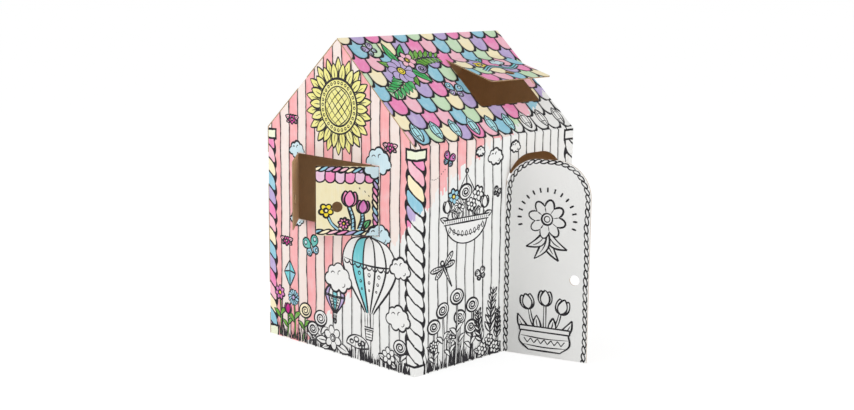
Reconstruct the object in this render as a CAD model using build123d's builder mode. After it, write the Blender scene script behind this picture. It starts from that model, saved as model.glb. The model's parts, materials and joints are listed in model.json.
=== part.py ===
from build123d import *
from math import atan2, cos, degrees, hypot, radians, sin, tan
import os

os.makedirs("parts", exist_ok=True)

# House, in millimetres
wall_length = 890.0
gable_width = 840.0
eave_height = 850.0
ridge_height = 1220.0

# Board, its folds and the gaps between pieces
board = 4.0
fold_radius = 5.0
eave_lip = 12.0
seam_gap = 0.5
cut_gap = 0.5
finger_hole = 40.0

# Door in the front wall, its free edge measured from the wall's right edge
door_margin = 56.0
door_width = 348.0
door_height = 774.0
door_shoulder = 140.0
door_floor_gap = 3.0
door_hole_inset = 57.0
door_hole_height = 320.0
door_open = 72.0

# Window in each gable, measured from the sheet's folded corner and the floor
window_offset = 190.0
window_width = 466.0
window_sill = 502.0
window_height = 261.0
shutter_hole_inset = 78.0
shutter_hole_drop = 22.0
shutter_open = 45.0

# Skylight in the front roof slope, measured from the slope's right edge and up from the eave
skylight_margin = 70.0
skylight_width = 350.0
skylight_rise = 159.0
skylight_length = 258.0
skylight_corner = 12.0
skylight_hole_inset = 68.0
skylight_open = 26.0

# Flaps fold back until the board at the crease stops them
flap_limit = 165.0

# Corner tabs, which fold round the gable's free edges and tuck inside the other sheet
tab_step = 24.0
tab_jog = 8.0
tab_length = 50.0
tab_jog_radius = 4.0
wall_tab_height = 127.0
lower_tab_base = 86.0
upper_tab_base = 619.0
roof_tab_width = 72.0
roof_tab_from_ridge = 237.0

# Flange along the ridge, under the front slope
flange_length = 60.0
flange_end_gap = 12.0

# Worked out from the sizes above
half_width = gable_width / 2
roof_rise = ridge_height - eave_height
pitch = degrees(atan2(roof_rise, half_width))
slope_length = hypot(half_width, roof_rise)
pitch_cos = cos(radians(pitch))
pitch_sin = sin(radians(pitch))
lip_height = eave_height - eave_lip
lap_depth = board + seam_gap
tab_root = lap_depth + board
notch_reach = tab_step + tab_jog + seam_gap
door_offset = wall_length - door_margin - door_width
skylight_offset = wall_length - skylight_margin - skylight_width
shutter_width = (window_width - cut_gap) / 2 - cut_gap
left_x = -wall_length / 2
front_y = -board / 2
front_corner = Location((left_x, front_y, 0))
back_corner = Location((left_x + wall_length, front_y + gable_width, 0), (0, 0, 180))

# Planes of a sheet with its folded corner at the origin: the wall runs along X and the gable along Y
wall_plane = Plane.XZ
gable_plane = Plane.YZ
slope_plane = Plane(origin=(0, 0, eave_height), x_dir=(1, 0, 0), z_dir=(0, -pitch_sin, pitch_cos))
far_slope = Plane(origin=(0, half_width, ridge_height), x_dir=(1, 0, 0), z_dir=(0, pitch_sin, pitch_cos))


def roof_underside(distance):
    """Height of the gable's sloping edge at a distance from the nearer eave."""
    return eave_height + distance * tan(radians(pitch)) - lap_depth / pitch_cos


def slope_point(distance):
    """Point of a sheet's outer slope line, (Y, Z), at a distance up from the eave."""
    return (distance * pitch_cos, eave_height + distance * pitch_sin)


def folded_strip(line_points, radii, plane, length):
    """Board with the given outer line, folded at its corners, extruded along the plane's normal."""
    with BuildSketch(plane) as section:
        with BuildLine():
            outer_line = FilletPolyline(*line_points, radius=radii)
            offset(outer_line, amount=board, side=Side.RIGHT, closed=True)
        make_face()
    extrude(section.sketch, amount=length)


def corner_tab(origin, along_edge, width):
    """Tab that folds round a free edge of the gable, then steps down inside the other sheet."""
    tab_line = [
        (0, tab_root),
        (0, 0),
        (tab_step, 0),
        (tab_step + tab_jog, lap_depth),
        (tab_length, lap_depth),
    ]
    with BuildSketch(Plane(origin=origin, x_dir=(1, 0, 0), z_dir=along_edge)) as section:
        with BuildLine():
            outer_line = FilletPolyline(*tab_line, radius=[fold_radius, tab_jog_radius, tab_jog_radius])
            offset(outer_line, amount=board, side=Side.LEFT, closed=True)
        make_face()
    extrude(section.sketch, amount=width)


def folded_sheet(slope_end):
    """Wall, gable and roof slope as one folded sheet, its corner at the origin."""
    far_edge = gable_width - lap_depth
    gable_outline = [
        (0, 0),
        (0, lip_height),
        (lap_depth, lip_height),
        (lap_depth, roof_underside(lap_depth)),
        (half_width, roof_underside(half_width)),
        (far_edge, roof_underside(lap_depth)),
        (far_edge, 0),
    ]
    with BuildPart() as sheet:
        with BuildSketch(wall_plane):
            Rectangle(wall_length, lip_height, align=(Align.MIN, Align.MIN))
        extrude(amount=-board)
        with BuildSketch(gable_plane):
            with BuildLine():
                Polyline(*gable_outline, close=True)
            make_face()
        extrude(amount=board)
        corner_edges = sheet.edges().filter_by(Axis.Z)
        fillet(corner_edges.sort_by(lambda edge: edge.center().X + edge.center().Y)[0], fold_radius)
        folded_strip(
            [(0, lip_height), (0, eave_height), slope_point(slope_end)],
            [fold_radius],
            gable_plane,
            wall_length,
        )

        # Tabs along the gable's free edges
        for tab_base in (lower_tab_base, upper_tab_base):
            corner_tab((0, gable_width, tab_base + wall_tab_height), (0, 0, -1), wall_tab_height)
        roof_tab_start = far_slope.from_local_coords((0, roof_tab_from_ridge, 0))
        corner_tab(roof_tab_start, (0, pitch_cos, -pitch_sin), roof_tab_width)

        # Notches for the other sheet's tabs
        with BuildSketch(wall_plane):
            for tab_base in (lower_tab_base, upper_tab_base):
                with Locations((wall_length, tab_base - cut_gap)):
                    notch_height = wall_tab_height + 2 * cut_gap
                    Rectangle(notch_reach, notch_height, align=(Align.MAX, Align.MIN))
        extrude(amount=-board, mode=Mode.SUBTRACT)
        with BuildSketch(slope_plane):
            with Locations((wall_length, slope_length - roof_tab_from_ridge + cut_gap)):
                Rectangle(notch_reach, roof_tab_width + 2 * cut_gap, align=(Align.MAX, Align.MAX))
        extrude(amount=-board, mode=Mode.SUBTRACT)

        # Window opening
        with BuildSketch(gable_plane):
            with Locations((window_offset, window_sill)):
                Rectangle(window_width, window_height, align=(Align.MIN, Align.MIN))
        extrude(amount=board, mode=Mode.SUBTRACT)
    return sheet.part


def door_outline(margin):
    """Arched outline of the door, (0, 0) at the foot of the hinge, inset by a margin."""
    with BuildSketch() as outline:
        with Locations((margin, 0)):
            Rectangle(door_width - 2 * margin, door_height - margin, align=(Align.MIN, Align.MIN))
        fillet(outline.vertices().group_by(Axis.Y)[-1], door_shoulder - margin)
    return outline.sketch


def skylight_outline(margin):
    """Outline of the skylight, (0, 0) at the hinge's left end, running down to rounded corners."""
    with BuildSketch() as outline:
        with Locations((margin, -margin)):
            width = skylight_width - 2 * margin
            Rectangle(width, skylight_length - 2 * margin, align=(Align.MIN, Align.MAX))
        fillet(outline.vertices().group_by(Axis.Y)[0], skylight_corner - margin)
    return outline.sketch


# Front sheet, its slope mitred against the back slope's outer face
with BuildPart() as front_sheet:
    add(folded_sheet(slope_length + board))
    split(bisect_by=far_slope, keep=Keep.BOTTOM)
    with BuildSketch(wall_plane):
        with Locations((door_offset, 0)):
            add(door_outline(0))
    extrude(amount=-board, mode=Mode.SUBTRACT)
    with BuildSketch(slope_plane):
        with Locations((skylight_offset, skylight_rise + skylight_length)):
            add(skylight_outline(0))
    extrude(amount=-board, mode=Mode.SUBTRACT)
front_sheet.part.label = "front_sheet"

# Back sheet, folded again just below the ridge into the flange
ridge_lap = lap_depth / (2 * pitch_sin * pitch_cos)
fold_distance = slope_length - ridge_lap
fold_point = slope_point(fold_distance)
flange_end = (fold_point[0] + flange_length * pitch_cos, fold_point[1] - flange_length * pitch_sin)
with BuildPart() as back_sheet:
    add(folded_sheet(fold_distance - fold_radius))
    folded_strip(
        [slope_point(fold_distance - flange_length), fold_point, flange_end],
        [fold_radius],
        gable_plane.offset(flange_end_gap),
        wall_length - 2 * flange_end_gap,
    )
back_sheet.part.label = "back_sheet"

# Door, drawn closed with its hinge line on Z and its outer face on Y = 0
with BuildPart() as door:
    with BuildSketch(Plane.XZ):
        add(door_outline(cut_gap))
        Rectangle(door_width, door_floor_gap, align=(Align.MIN, Align.MIN), mode=Mode.SUBTRACT)
        with Locations((door_width - door_hole_inset, door_hole_height)):
            Circle(finger_hole / 2, mode=Mode.SUBTRACT)
    extrude(amount=-board)
door.part.label = "door"


def make_shutter(label, hole_height):
    """Window flap, drawn closed with its hinge line on Z and its hole at a height from the middle."""
    with BuildPart() as shutter:
        with BuildSketch(Plane.XZ):
            with Locations((cut_gap, 0)):
                Rectangle(shutter_width, window_height - 2 * cut_gap, align=(Align.MIN, Align.CENTER))
            with Locations((shutter_width + cut_gap - shutter_hole_inset, hole_height)):
                Circle(finger_hole / 2, mode=Mode.SUBTRACT)
        extrude(amount=-board)
    shutter.part.label = label
    return shutter.part


# Shutters: the one hinged nearest its sheet's folded corner hangs with its drawing upside down
left_front_shutter = make_shutter("left_front_shutter", shutter_hole_drop)
left_back_shutter = make_shutter("left_back_shutter", -shutter_hole_drop)
right_back_shutter = make_shutter("right_back_shutter", shutter_hole_drop)
right_front_shutter = make_shutter("right_front_shutter", -shutter_hole_drop)

# Skylight flap, drawn closed with its hinge line on Z and its outer face on Y = 0
with BuildPart() as skylight_flap:
    with BuildSketch(Plane(origin=(0, 0, 0), x_dir=(0, 0, 1), z_dir=(0, -1, 0))):
        add(skylight_outline(cut_gap))
        with Locations((skylight_width / 2, skylight_hole_inset - skylight_length)):
            Circle(finger_hole / 2, mode=Mode.SUBTRACT)
    extrude(amount=-board)
skylight_flap.part.label = "skylight_flap"


def crease_hinge(label, sheet_part, point, direction, along):
    """Hinge at a crease in a sheet's outer face, where along runs to the closed flap's free edge."""
    axis = Axis(point, direction)
    closed_angle = axis.location.x_axis.direction.get_signed_angle(Vector(along), axis.direction)
    RevoluteJoint(
        label,
        to_part=sheet_part,
        axis=axis,
        angular_range=(closed_angle, closed_angle + flap_limit),
    )


# Hinges of the sheets
window_middle = window_sill + window_height / 2
window_end = window_offset + window_width
skylight_hinge = slope_plane.from_local_coords((skylight_offset, skylight_rise + skylight_length, 0))
down_slope = (0, -pitch_cos, -pitch_sin)
crease_hinge("door_hinge", front_sheet.part, (door_offset, 0, 0), (0, 0, -1), (1, 0, 0))
crease_hinge("skylight_hinge", front_sheet.part, skylight_hinge, (-1, 0, 0), down_slope)
for sheet_part in (front_sheet.part, back_sheet.part):
    crease_hinge("near_hinge", sheet_part, (0, window_offset, window_middle), (0, 0, 1), (0, 1, 0))
    crease_hinge("far_hinge", sheet_part, (0, window_end, window_middle), (0, 0, -1), (0, -1, 0))

# The sheets stand on the floor round the origin, and each flap hangs at its open angle
front_sheet.part.location = front_corner
back_sheet.part.location = back_corner
hung_flaps = [
    (front_sheet.part, "door_hinge", door.part, door_open),
    (front_sheet.part, "near_hinge", left_front_shutter, shutter_open),
    (front_sheet.part, "far_hinge", left_back_shutter, shutter_open),
    (front_sheet.part, "skylight_hinge", skylight_flap.part, skylight_open),
    (back_sheet.part, "near_hinge", right_back_shutter, 0),
    (back_sheet.part, "far_hinge", right_front_shutter, 0),
]
crease_frame = Plane(origin=(0, 0, 0), x_dir=(1, 0, 0), z_dir=(0, 0, -1)).location
for sheet_part, hinge, flap, opening in hung_flaps:
    RigidJoint("crease", to_part=flap, joint_location=crease_frame)
    hinge_joint = sheet_part.joints[hinge]
    hinge_joint.connect_to(flap.joints["crease"], angle=hinge_joint.angular_range[0] + opening)

for part_to_write in [front_sheet.part, back_sheet.part] + [row[2] for row in hung_flaps]:
    export_step(part_to_write, f"parts/{part_to_write.label}.step")
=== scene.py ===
import json
from cmath import rect
from functools import partial
from math import atan2, cos, pi, radians, sin, tau
from random import Random

import bpy
from bpy.props import FloatProperty, FloatVectorProperty, IntProperty, PointerProperty
from mathutils import Matrix, Vector


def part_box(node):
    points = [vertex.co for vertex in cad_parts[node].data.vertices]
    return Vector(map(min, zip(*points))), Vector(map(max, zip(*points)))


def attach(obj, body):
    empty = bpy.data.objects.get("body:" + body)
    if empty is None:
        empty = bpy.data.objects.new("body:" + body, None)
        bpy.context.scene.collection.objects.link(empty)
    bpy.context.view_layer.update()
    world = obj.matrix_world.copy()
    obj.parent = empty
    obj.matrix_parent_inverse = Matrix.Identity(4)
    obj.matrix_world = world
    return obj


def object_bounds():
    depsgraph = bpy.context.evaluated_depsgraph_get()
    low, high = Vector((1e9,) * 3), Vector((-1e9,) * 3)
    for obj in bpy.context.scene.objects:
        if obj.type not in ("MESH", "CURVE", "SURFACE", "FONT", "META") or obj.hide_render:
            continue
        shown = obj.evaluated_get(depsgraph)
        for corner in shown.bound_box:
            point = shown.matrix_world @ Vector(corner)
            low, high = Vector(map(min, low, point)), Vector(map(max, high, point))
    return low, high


bl_info = {
    "name": "Cardboard playhouse",
    "version": (1, 0, 0),
    "blender": (4, 5, 0),
    "location": "View3D > Sidebar > Playhouse",
    "description": "Prints and half colours a folded cardboard playhouse, and sets it on a studio floor",
    "category": "Object",
}

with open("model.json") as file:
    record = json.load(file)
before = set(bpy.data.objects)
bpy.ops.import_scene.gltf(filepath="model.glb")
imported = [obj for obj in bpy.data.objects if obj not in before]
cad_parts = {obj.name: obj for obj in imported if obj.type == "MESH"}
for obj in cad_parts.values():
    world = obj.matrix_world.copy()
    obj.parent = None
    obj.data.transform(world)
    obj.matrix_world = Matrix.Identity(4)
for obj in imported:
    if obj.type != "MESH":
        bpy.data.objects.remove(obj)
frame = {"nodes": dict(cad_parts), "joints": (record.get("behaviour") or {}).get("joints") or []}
cad_low, cad_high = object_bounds()
joints = {joint["name"]: joint for joint in frame["joints"]}

MM = 0.001
PAPER_ROUGHNESS = 0.62

# The house's own sizes in millimetres, read from the frame where a node's box shows them
house_low, house_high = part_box("front_sheet")
WALL_LENGTH = (house_high.x - house_low.x) / MM
GABLE_WIDTH = (house_high.y - house_low.y) / MM
RIDGE_HEIGHT = house_high.z / MM
EAVE_HEIGHT = 850.0
PITCH = atan2(RIDGE_HEIGHT - EAVE_HEIGHT, GABLE_WIDTH / 2)
BOARD = 4.0
WINDOW_START, WINDOW_END = 190.0, 656.0
WINDOW_MIDDLE, WINDOW_HEIGHT = 632.5, 261.0
DOOR_OFFSET, DOOR_WIDTH, DOOR_HEIGHT, DOOR_SHOULDER = 486.0, 348.0, 774.0, 140.0

# A sheet's frame has its folded corner at the origin, the wall along X and the gable along Y
FRONT_CORNER = Matrix.Translation((house_low.x, house_low.y, 0))
BACK_CORNER = Matrix.Translation((house_high.x, house_high.y, 0)) @ Matrix.Rotation(pi, 4, "Z")


def srgb(red, green, blue):
    """A colour as the eye reads it, 0 to 255, as the shader's linear colour."""
    shares = (value / 255 for value in (red, green, blue))
    return tuple(v / 12.92 if v <= 0.04045 else ((v + 0.055) / 1.055) ** 2.4 for v in shares)


PAPER = srgb(238, 238, 236)
INK = srgb(30, 28, 32)
KRAFT = srgb(218, 184, 142)
PINK = srgb(247, 178, 180)
PALE = srgb(243, 228, 221)
HOT_PINK = srgb(243, 146, 193)
LIGHT_PINK = srgb(248, 192, 206)
LILAC = srgb(190, 172, 216)
PALE_LILAC = srgb(236, 200, 222)
BLUE = srgb(152, 205, 224)
CREAM = srgb(252, 240, 202)
GREEN = srgb(203, 229, 194)
YELLOW = srgb(238, 232, 146)
SUN = srgb(246, 222, 60)
CYAN = srgb(120, 208, 216)
ICE = srgb(178, 230, 236)
MAGENTA = srgb(200, 34, 140)
LEAF = srgb(108, 170, 62)
JADE = srgb(66, 176, 96)
SHUTTER_CREAM = srgb(240, 230, 190)
CAPITAL = srgb(240, 244, 218)
SKY = srgb(206, 229, 236)
PLUM = srgb(214, 122, 186)
TEAL = srgb(96, 190, 180)


def colour_property(name, description, default):
    """A colour that the user may change."""
    return FloatVectorProperty(
        name=name, description=description, subtype="COLOR", size=3, min=0, max=1, default=default
    )


def length_property(name, description, default):
    """A length in millimetres that the user may change."""
    return FloatProperty(name=name, description=description + ", in millimetres", default=default, min=0)


def angle_property(name, description, default):
    """An angle that the user may change, with its default in degrees."""
    return FloatProperty(name=name, description=description, default=radians(default), unit="ROTATION")


def power_property(name, description, default):
    """A lamp's power in watts that the user may change."""
    return FloatProperty(name=name, description=description, default=default, min=0, unit="POWER")


class BoardSettings(bpy.types.PropertyGroup):
    """Colours of the board and its printing."""

    paper: colour_property("Paper", "Uncoloured white face of the board", PAPER)
    ink: colour_property("Ink", "Printed lines", INK)
    kraft: colour_property("Kraft", "Brown inner face and cut edges", KRAFT)
    flute_pitch: length_property("Flute pitch", "Distance between the board's flutes", 7.0)
    flute_show: FloatProperty(
        name="Flute show",
        description="How much the flutes show through the faces",
        default=0.12,
        min=0,
        max=1,
        subtype="FACTOR",
    )


class WallSettings(bpy.types.PropertyGroup):
    """Stripes and columns of the walls and gables."""

    stripe: colour_property("Stripe", "Every other stripe, where it is coloured in", PINK)
    between: colour_property("Between", "Stripes between the pink ones", PALE)
    gable_stripe: length_property("Gable stripe", "Width of a stripe on a gable", 52.15)
    wall_stripe: length_property("Wall stripe", "Width of a stripe on a long wall", 48.5)
    column_half: length_property("Column half", "Width of a corner column on each face", 46.0)
    column_twist: length_property("Column twist", "Height of one band of a column", 56.0)
    stripe_line: length_property("Stripe line", "Width of the lines between stripes", 5.4)
    column_line: length_property("Column line", "Width of the lines between a column's bands", 7.0)


class RoofSettings(bpy.types.PropertyGroup):
    """Rounded shingles of the roof."""

    scale_width: length_property("Shingle width", "Width of one shingle", 74.0)
    scale_rise: length_property("Shingle rise", "Distance from row to row up the slope", 73.0)
    scale_round: length_property("Shingle round", "Height of a shingle's rounded end", 44.0)
    scale_line: length_property("Shingle line", "Width of the line round a shingle", 8.2)


class FlapSettings(bpy.types.PropertyGroup):
    """Rope borders of the door and the shutters."""

    face: colour_property("Shutter face", "Coloured face of a shutter", SHUTTER_CREAM)
    door_rope: length_property("Door rope", "Width of a strand of the rope round the door", 8.6)
    shutter_rope: length_property("Shutter rope", "Width of a strand of the rope round a shutter", 9.0)
    rope_twist: length_property("Rope twist", "Distance from one strand of a rope to the next", 24.0)
    awning_drop: length_property("Awning drop", "Height of the awning under the upper rope", 39.0)
    awning_pitch: length_property("Awning pitch", "Width of one tongue of the awning", 36.0)


class PictureSettings(bpy.types.PropertyGroup):
    """Pen work of the drawn pictures."""

    pen: length_property("Pen", "Width of an outline", 5.4)
    fine_pen: length_property("Fine pen", "Width of the lines inside a picture", 3.4)
    lift: length_property("Lift", "Height of the lowest layer over the board", 0.12)
    layer: length_property("Layer", "Height of one layer over the next", 0.035)
    grass_blades: IntProperty(
        name="Grass blades", description="Blades of grass along 100 mm of a wall", default=32, min=1
    )


class StageSettings(bpy.types.PropertyGroup):
    """Camera, floor and lamps."""

    lens: FloatProperty(name="Lens", description="Focal length", default=56.89, subtype="DISTANCE_CAMERA")
    eye: FloatVectorProperty(
        name="Eye", description="Where the camera stands", default=(-3.7954, -3.3810, 1.5193), unit="LENGTH"
    )
    heading: angle_property("Heading", "Turn of the view from +Y towards +X", 45.254)
    dip: angle_property("Dip", "How far the camera looks down", 10.410)
    roll: angle_property("Roll", "Tilt of the camera about its view", 0.501)
    floor_size: FloatProperty(name="Floor size", description="Side of the floor", default=60.0, unit="LENGTH")
    key_power: power_property("Key power", "Power of the soft lamp in front", 74.0)
    fill_power: power_property("Fill power", "Power of the soft lamp at the side", 88.0)
    sky: FloatProperty(name="Sky", description="Strength of the even light all round", default=0.68, min=0)


# Wires of a node tree that read as sums


def plug(tree, socket, value):
    """Links a wire to a socket, or sets the socket to a plain value."""
    if isinstance(value, Wire):
        tree.links.new(value.socket, socket)
    else:
        socket.default_value = value


def calc(tree, operation, *values):
    """A math node."""
    node = tree.nodes.new("ShaderNodeMath")
    node.operation = operation
    for socket, value in zip(node.inputs, values):
        plug(tree, socket, value)
    return Wire(tree, node.outputs[0])


def sum_method(operation):
    """A method of a wire that takes it, and what it is given, through a math node."""

    def method(wire, *others):
        return calc(wire.tree, operation, wire, *others)

    return method


class Wire:
    """A number, vector or colour on its way through a node tree."""

    def __init__(self, tree, socket):
        self.tree = tree
        self.socket = socket

    def __rsub__(self, other):
        return calc(self.tree, "SUBTRACT", other, self)

    __add__ = sum_method("ADD")
    __sub__ = sum_method("SUBTRACT")
    __mul__ = sum_method("MULTIPLY")
    __truediv__ = sum_method("DIVIDE")
    __mod__ = sum_method("FLOORED_MODULO")
    __lt__ = sum_method("LESS_THAN")
    __gt__ = sum_method("GREATER_THAN")
    __abs__ = sum_method("ABSOLUTE")
    floor = sum_method("FLOOR")
    fraction = sum_method("FRACT")
    root = sum_method("SQRT")
    least = sum_method("MINIMUM")
    most = sum_method("MAXIMUM")

    def parts(self):
        """The three numbers of a vector."""
        node = self.tree.nodes.new("ShaderNodeSeparateXYZ")
        plug(self.tree, node.inputs[0], self)
        return tuple(Wire(self.tree, output) for output in node.outputs)


def vector_calc(tree, operation, *values):
    """A vector math node."""
    node = tree.nodes.new("ShaderNodeVectorMath")
    node.operation = operation
    for socket, value in zip(node.inputs, values):
        plug(tree, socket, value)
    return Wire(tree, node.outputs[0])


def scaled(tree, vector, factor):
    """A vector times a number."""
    node = tree.nodes.new("ShaderNodeVectorMath")
    node.operation = "SCALE"
    plug(tree, node.inputs["Vector"], vector)
    plug(tree, node.inputs["Scale"], factor)
    return Wire(tree, node.outputs[0])


def combined(tree, x, y, z):
    """Three numbers as a vector."""
    node = tree.nodes.new("ShaderNodeCombineXYZ")
    for socket, value in zip(node.inputs, (x, y, z)):
        plug(tree, socket, value)
    return Wire(tree, node.outputs[0])


def mixed(tree, share, first, second, kind="RGBA", blend="MIX"):
    """First where share is 0 and second where it is 1. A plain colour is given without its alpha."""
    node = tree.nodes.new("ShaderNodeMix")
    node.data_type = kind
    node.blend_type = blend
    plug(tree, node.inputs[0], share)
    first_socket, result = {"FLOAT": (2, 0), "VECTOR": (4, 1), "RGBA": (6, 2)}[kind]
    for socket, value in zip(node.inputs[first_socket:], (first, second)):
        if kind == "RGBA" and not isinstance(value, Wire):
            value = (*value[:3], 1.0)
        plug(tree, socket, value)
    return Wire(tree, node.outputs[result])


def between(tree, share, first, second):
    """A number from first, where share is 0, to second, where it is 1."""
    return mixed(tree, share, first, second, "FLOAT")


def toned(colour, factor):
    """A colour made darker or lighter."""
    return tuple(factor * value for value in colour)


def noise(tree, place, scale, detail=1.0, colour=False):
    """Smooth noise from 0 to 1, as a number or as a vector of three."""
    node = tree.nodes.new("ShaderNodeTexNoise")
    plug(tree, node.inputs["Vector"], place)
    node.inputs["Scale"].default_value = scale
    node.inputs["Detail"].default_value = detail
    return Wire(tree, node.outputs["Color" if colour else "Fac"])


def lottery(tree, number):
    """A random number from 0 to 1 for each whole number."""
    node = tree.nodes.new("ShaderNodeTexWhiteNoise")
    node.noise_dimensions = "1D"
    plug(tree, node.inputs["W"], number)
    return Wire(tree, node.outputs["Value"])


def palette(tree, index, colours):
    """One of the colours for each whole number, over and over."""
    node = tree.nodes.new("ShaderNodeValToRGB")
    ramp = node.color_ramp
    ramp.interpolation = "CONSTANT"
    count = len(colours)
    while len(ramp.elements) < count:
        ramp.elements.new(1.0)
    for step, colour in enumerate(colours):
        ramp.elements[step].position = step / count
        ramp.elements[step].color = (*colour, 1.0)
    plug(tree, node.inputs[0], ((index + 0.5) / float(count)).fraction())
    return Wire(tree, node.outputs["Color"])


SOCKETS = {"number": "NodeSocketFloat", "vector": "NodeSocketVector", "colour": "NodeSocketColor"}


def new_group(name, takes, gives):
    """An empty node group. Gives its tree, its inputs as wires and its output node."""
    tree = bpy.data.node_groups.new(name, "ShaderNodeTree")
    for label, kind in takes.items():
        tree.interface.new_socket(label, in_out="INPUT", socket_type=SOCKETS[kind])
    for label, kind in gives.items():
        tree.interface.new_socket(label, in_out="OUTPUT", socket_type=SOCKETS[kind])
    entry = tree.nodes.new("NodeGroupInput")
    end = tree.nodes.new("NodeGroupOutput")
    wires = {label: Wire(tree, entry.outputs[label]) for label in takes}
    return tree, wires, end


def use_group(tree, group, **values):
    """Places a node group in a tree. Names are written with _ for a space."""
    node = tree.nodes.new("ShaderNodeGroup")
    node.node_tree = group
    for label, value in values.items():
        plug(tree, node.inputs[label.replace("_", " ")], value)
    return {output.name: Wire(tree, output) for output in node.outputs}


def finish_group(tree, end, **values):
    """Plugs the results into a group's output node."""
    for label, value in values.items():
        plug(tree, end.inputs[label.replace("_", " ")], value)
    return tree


def pen_ink(tree, pen, place, distance, width):
    """Ink of a line of the pen group, from the distance to the line's middle."""
    return use_group(tree, pen, Place=place, Distance=distance, Width=width)["Ink"]


def new_material(name):
    """A material with an empty node tree. Gives both."""
    material = bpy.data.materials.new(name)
    material.use_nodes = True
    material.node_tree.nodes.clear()
    return material, material.node_tree


def object_place(tree):
    """The place on a piece, in millimetres."""
    source = tree.nodes.new("ShaderNodeTexCoord")
    return scaled(tree, Wire(tree, source.outputs["Object"]), 1 / MM)


def matt_shader(tree, colour, roughness):
    """A shader for dry board and ink."""
    shader = tree.nodes.new("ShaderNodeBsdfPrincipled")
    plug(tree, shader.inputs["Base Color"], colour)
    plug(tree, shader.inputs["Roughness"], roughness)
    shader.inputs["Specular IOR Level"].default_value = 0.25
    return shader


def show(tree, surface, kind="Material"):
    """Links a shader to the output of a material or a world."""
    output = tree.nodes.new("ShaderNodeOutput" + kind)
    tree.links.new(surface.outputs[0], output.inputs["Surface"])


# Node groups that more than one finish uses


def unsteady_hand_group():
    """Moves the place a little, so that ruled lines look drawn by hand."""
    drift, tremble = 3.0, 0.7
    tree, wires, end = new_group("unsteady hand", {"Place": "vector"}, {"Place": "vector"})
    place = wires["Place"]
    middle = (0.5, 0.5, 0.5)
    for reach, scale, detail in ((drift, 0.007, 0.0), (tremble, 0.06, 1.0)):
        push = vector_calc(tree, "SUBTRACT", noise(tree, wires["Place"], scale, detail, colour=True), middle)
        place = vector_calc(tree, "ADD", place, scaled(tree, push, 4 * reach))
    return finish_group(tree, end, Place=place)


def pen_group():
    """Ink along a line, from the distance to its middle. Its weight changes as a brush pen's does."""
    soft_edge, lightest, swing = 0.9, 0.25, 1.5
    takes = {"Place": "vector", "Distance": "number", "Width": "number"}
    tree, wires, end = new_group("pen", takes, {"Ink": "number"})
    weight = noise(tree, wires["Place"], 0.028, 2.0) * swing + lightest
    ink = (wires["Width"] * weight / 2.0 - wires["Distance"]) / soft_edge + 0.5
    node = tree.nodes.new("ShaderNodeClamp")
    plug(tree, node.inputs["Value"], ink)
    return finish_group(tree, end, Ink=Wire(tree, node.outputs[0]))


def marker_group():
    """Marker pen colour, with the wash, streaks and thin spots of colouring by hand."""
    wash_share, streak_share = 0.5, 0.35
    paling, deepening = 1.6, 1.5
    takes = {"Place": "vector", "Colour": "colour"}
    tree, wires, end = new_group("marker", takes, {"Colour": "colour"})
    place = wires["Place"]
    stretched = vector_calc(tree, "MULTIPLY", place, (1.0, 1.0, 0.12))
    wash = noise(tree, place, 0.022, 3.0)
    streaks = noise(tree, stretched, 0.11, 2.0)
    light = (wash - 0.5) * wash_share + (streaks - 0.5) * streak_share
    paler = mixed(tree, light.most(0.0) * paling, wires["Colour"], PAPER)
    deep = (0.0 - light).most(0.0) * deepening
    return finish_group(tree, end, Colour=mixed(tree, deep, paler, wires["Colour"], blend="MULTIPLY"))


def twist_group(pen):
    """Bands wound round a column. Across runs from its middle and Along runs up it."""
    scallop_depth, rim_slope = 0.22, 0.06
    numbers = ("Across", "Along", "Half", "Pitch", "Drop", "Fullness", "Line", "Outline")
    takes = {"Place": "vector", **dict.fromkeys(numbers, "number")}
    tree, wires, end = new_group("twist", takes, {"Ink": "number", "Inside": "number", "Band": "number"})
    half = wires["Half"]
    share = (wires["Across"] / half).least(1.0).most(-1.0)
    turn = calc(tree, "ARCSINE", share) * (2 / pi)
    level = (wires["Along"] + wires["Drop"] * turn) / wires["Pitch"]
    from_middle = abs(level.fraction() - 0.5)
    full = 1.0 - calc(tree, "POWER", abs(share), wires["Fullness"])
    steep = wires["Drop"] * (2 / pi) / half / (1.0 - share * share).most(rim_slope).root()
    upright = calc(tree, "DIVIDE", 1.0, (steep * steep + 1.0).root())
    inside_by = (full * 0.5 - from_middle) * wires["Pitch"] * upright
    inside_by = inside_by.least(half - abs(wires["Across"]))
    scallop = 1.0 - from_middle * from_middle * (4 * scallop_depth)
    within = half * scallop + wires["Outline"] - abs(wires["Across"])
    inner = wires["Line"] / 2.0
    from_pen = inner - (inner - inside_by).least(within)
    ink = pen_ink(tree, pen, wires["Place"], from_pen, wires["Line"])
    return finish_group(tree, end, Ink=ink, Inside=inside_by > 0.0, Band=level.floor())


def rope_group(pen):
    """Pointed strands that follow one another along a rope, each from one side of it to the other."""
    numbers = ("Across", "Along", "Pitch", "Lean", "Thickness", "Length", "Outline")
    takes = {"Place": "vector", **dict.fromkeys(numbers, "number")}
    tree, wires, end = new_group("rope", takes, {"Ink": "number", "Inside": "number", "Band": "number"})
    level = wires["Along"] / wires["Pitch"]
    slope = wires["Lean"] / wires["Pitch"]
    upright = calc(tree, "DIVIDE", 1.0, (slope * slope + 1.0).root())
    strands = []
    for neighbour in (-1.0, 0.0, 1.0):
        part = level.fraction() - (0.5 + neighbour)
        reach = part * 2.0 / wires["Length"]
        thick = wires["Thickness"] * (1.0 - reach * reach) / 2.0
        strands.append((thick - abs(wires["Across"] + wires["Lean"] * part)) * upright)
    before, own, after = strands
    inside_by = own.most(before).most(after)
    band = level.floor() + (after > own.most(before)) - (before > own.most(after))
    from_pen = inside_by + wires["Outline"] / 2.0
    ink = pen_ink(tree, pen, wires["Place"], abs(from_pen), wires["Outline"])
    return finish_group(tree, end, Ink=ink, Inside=from_pen > 0.0, Band=band)


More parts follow.
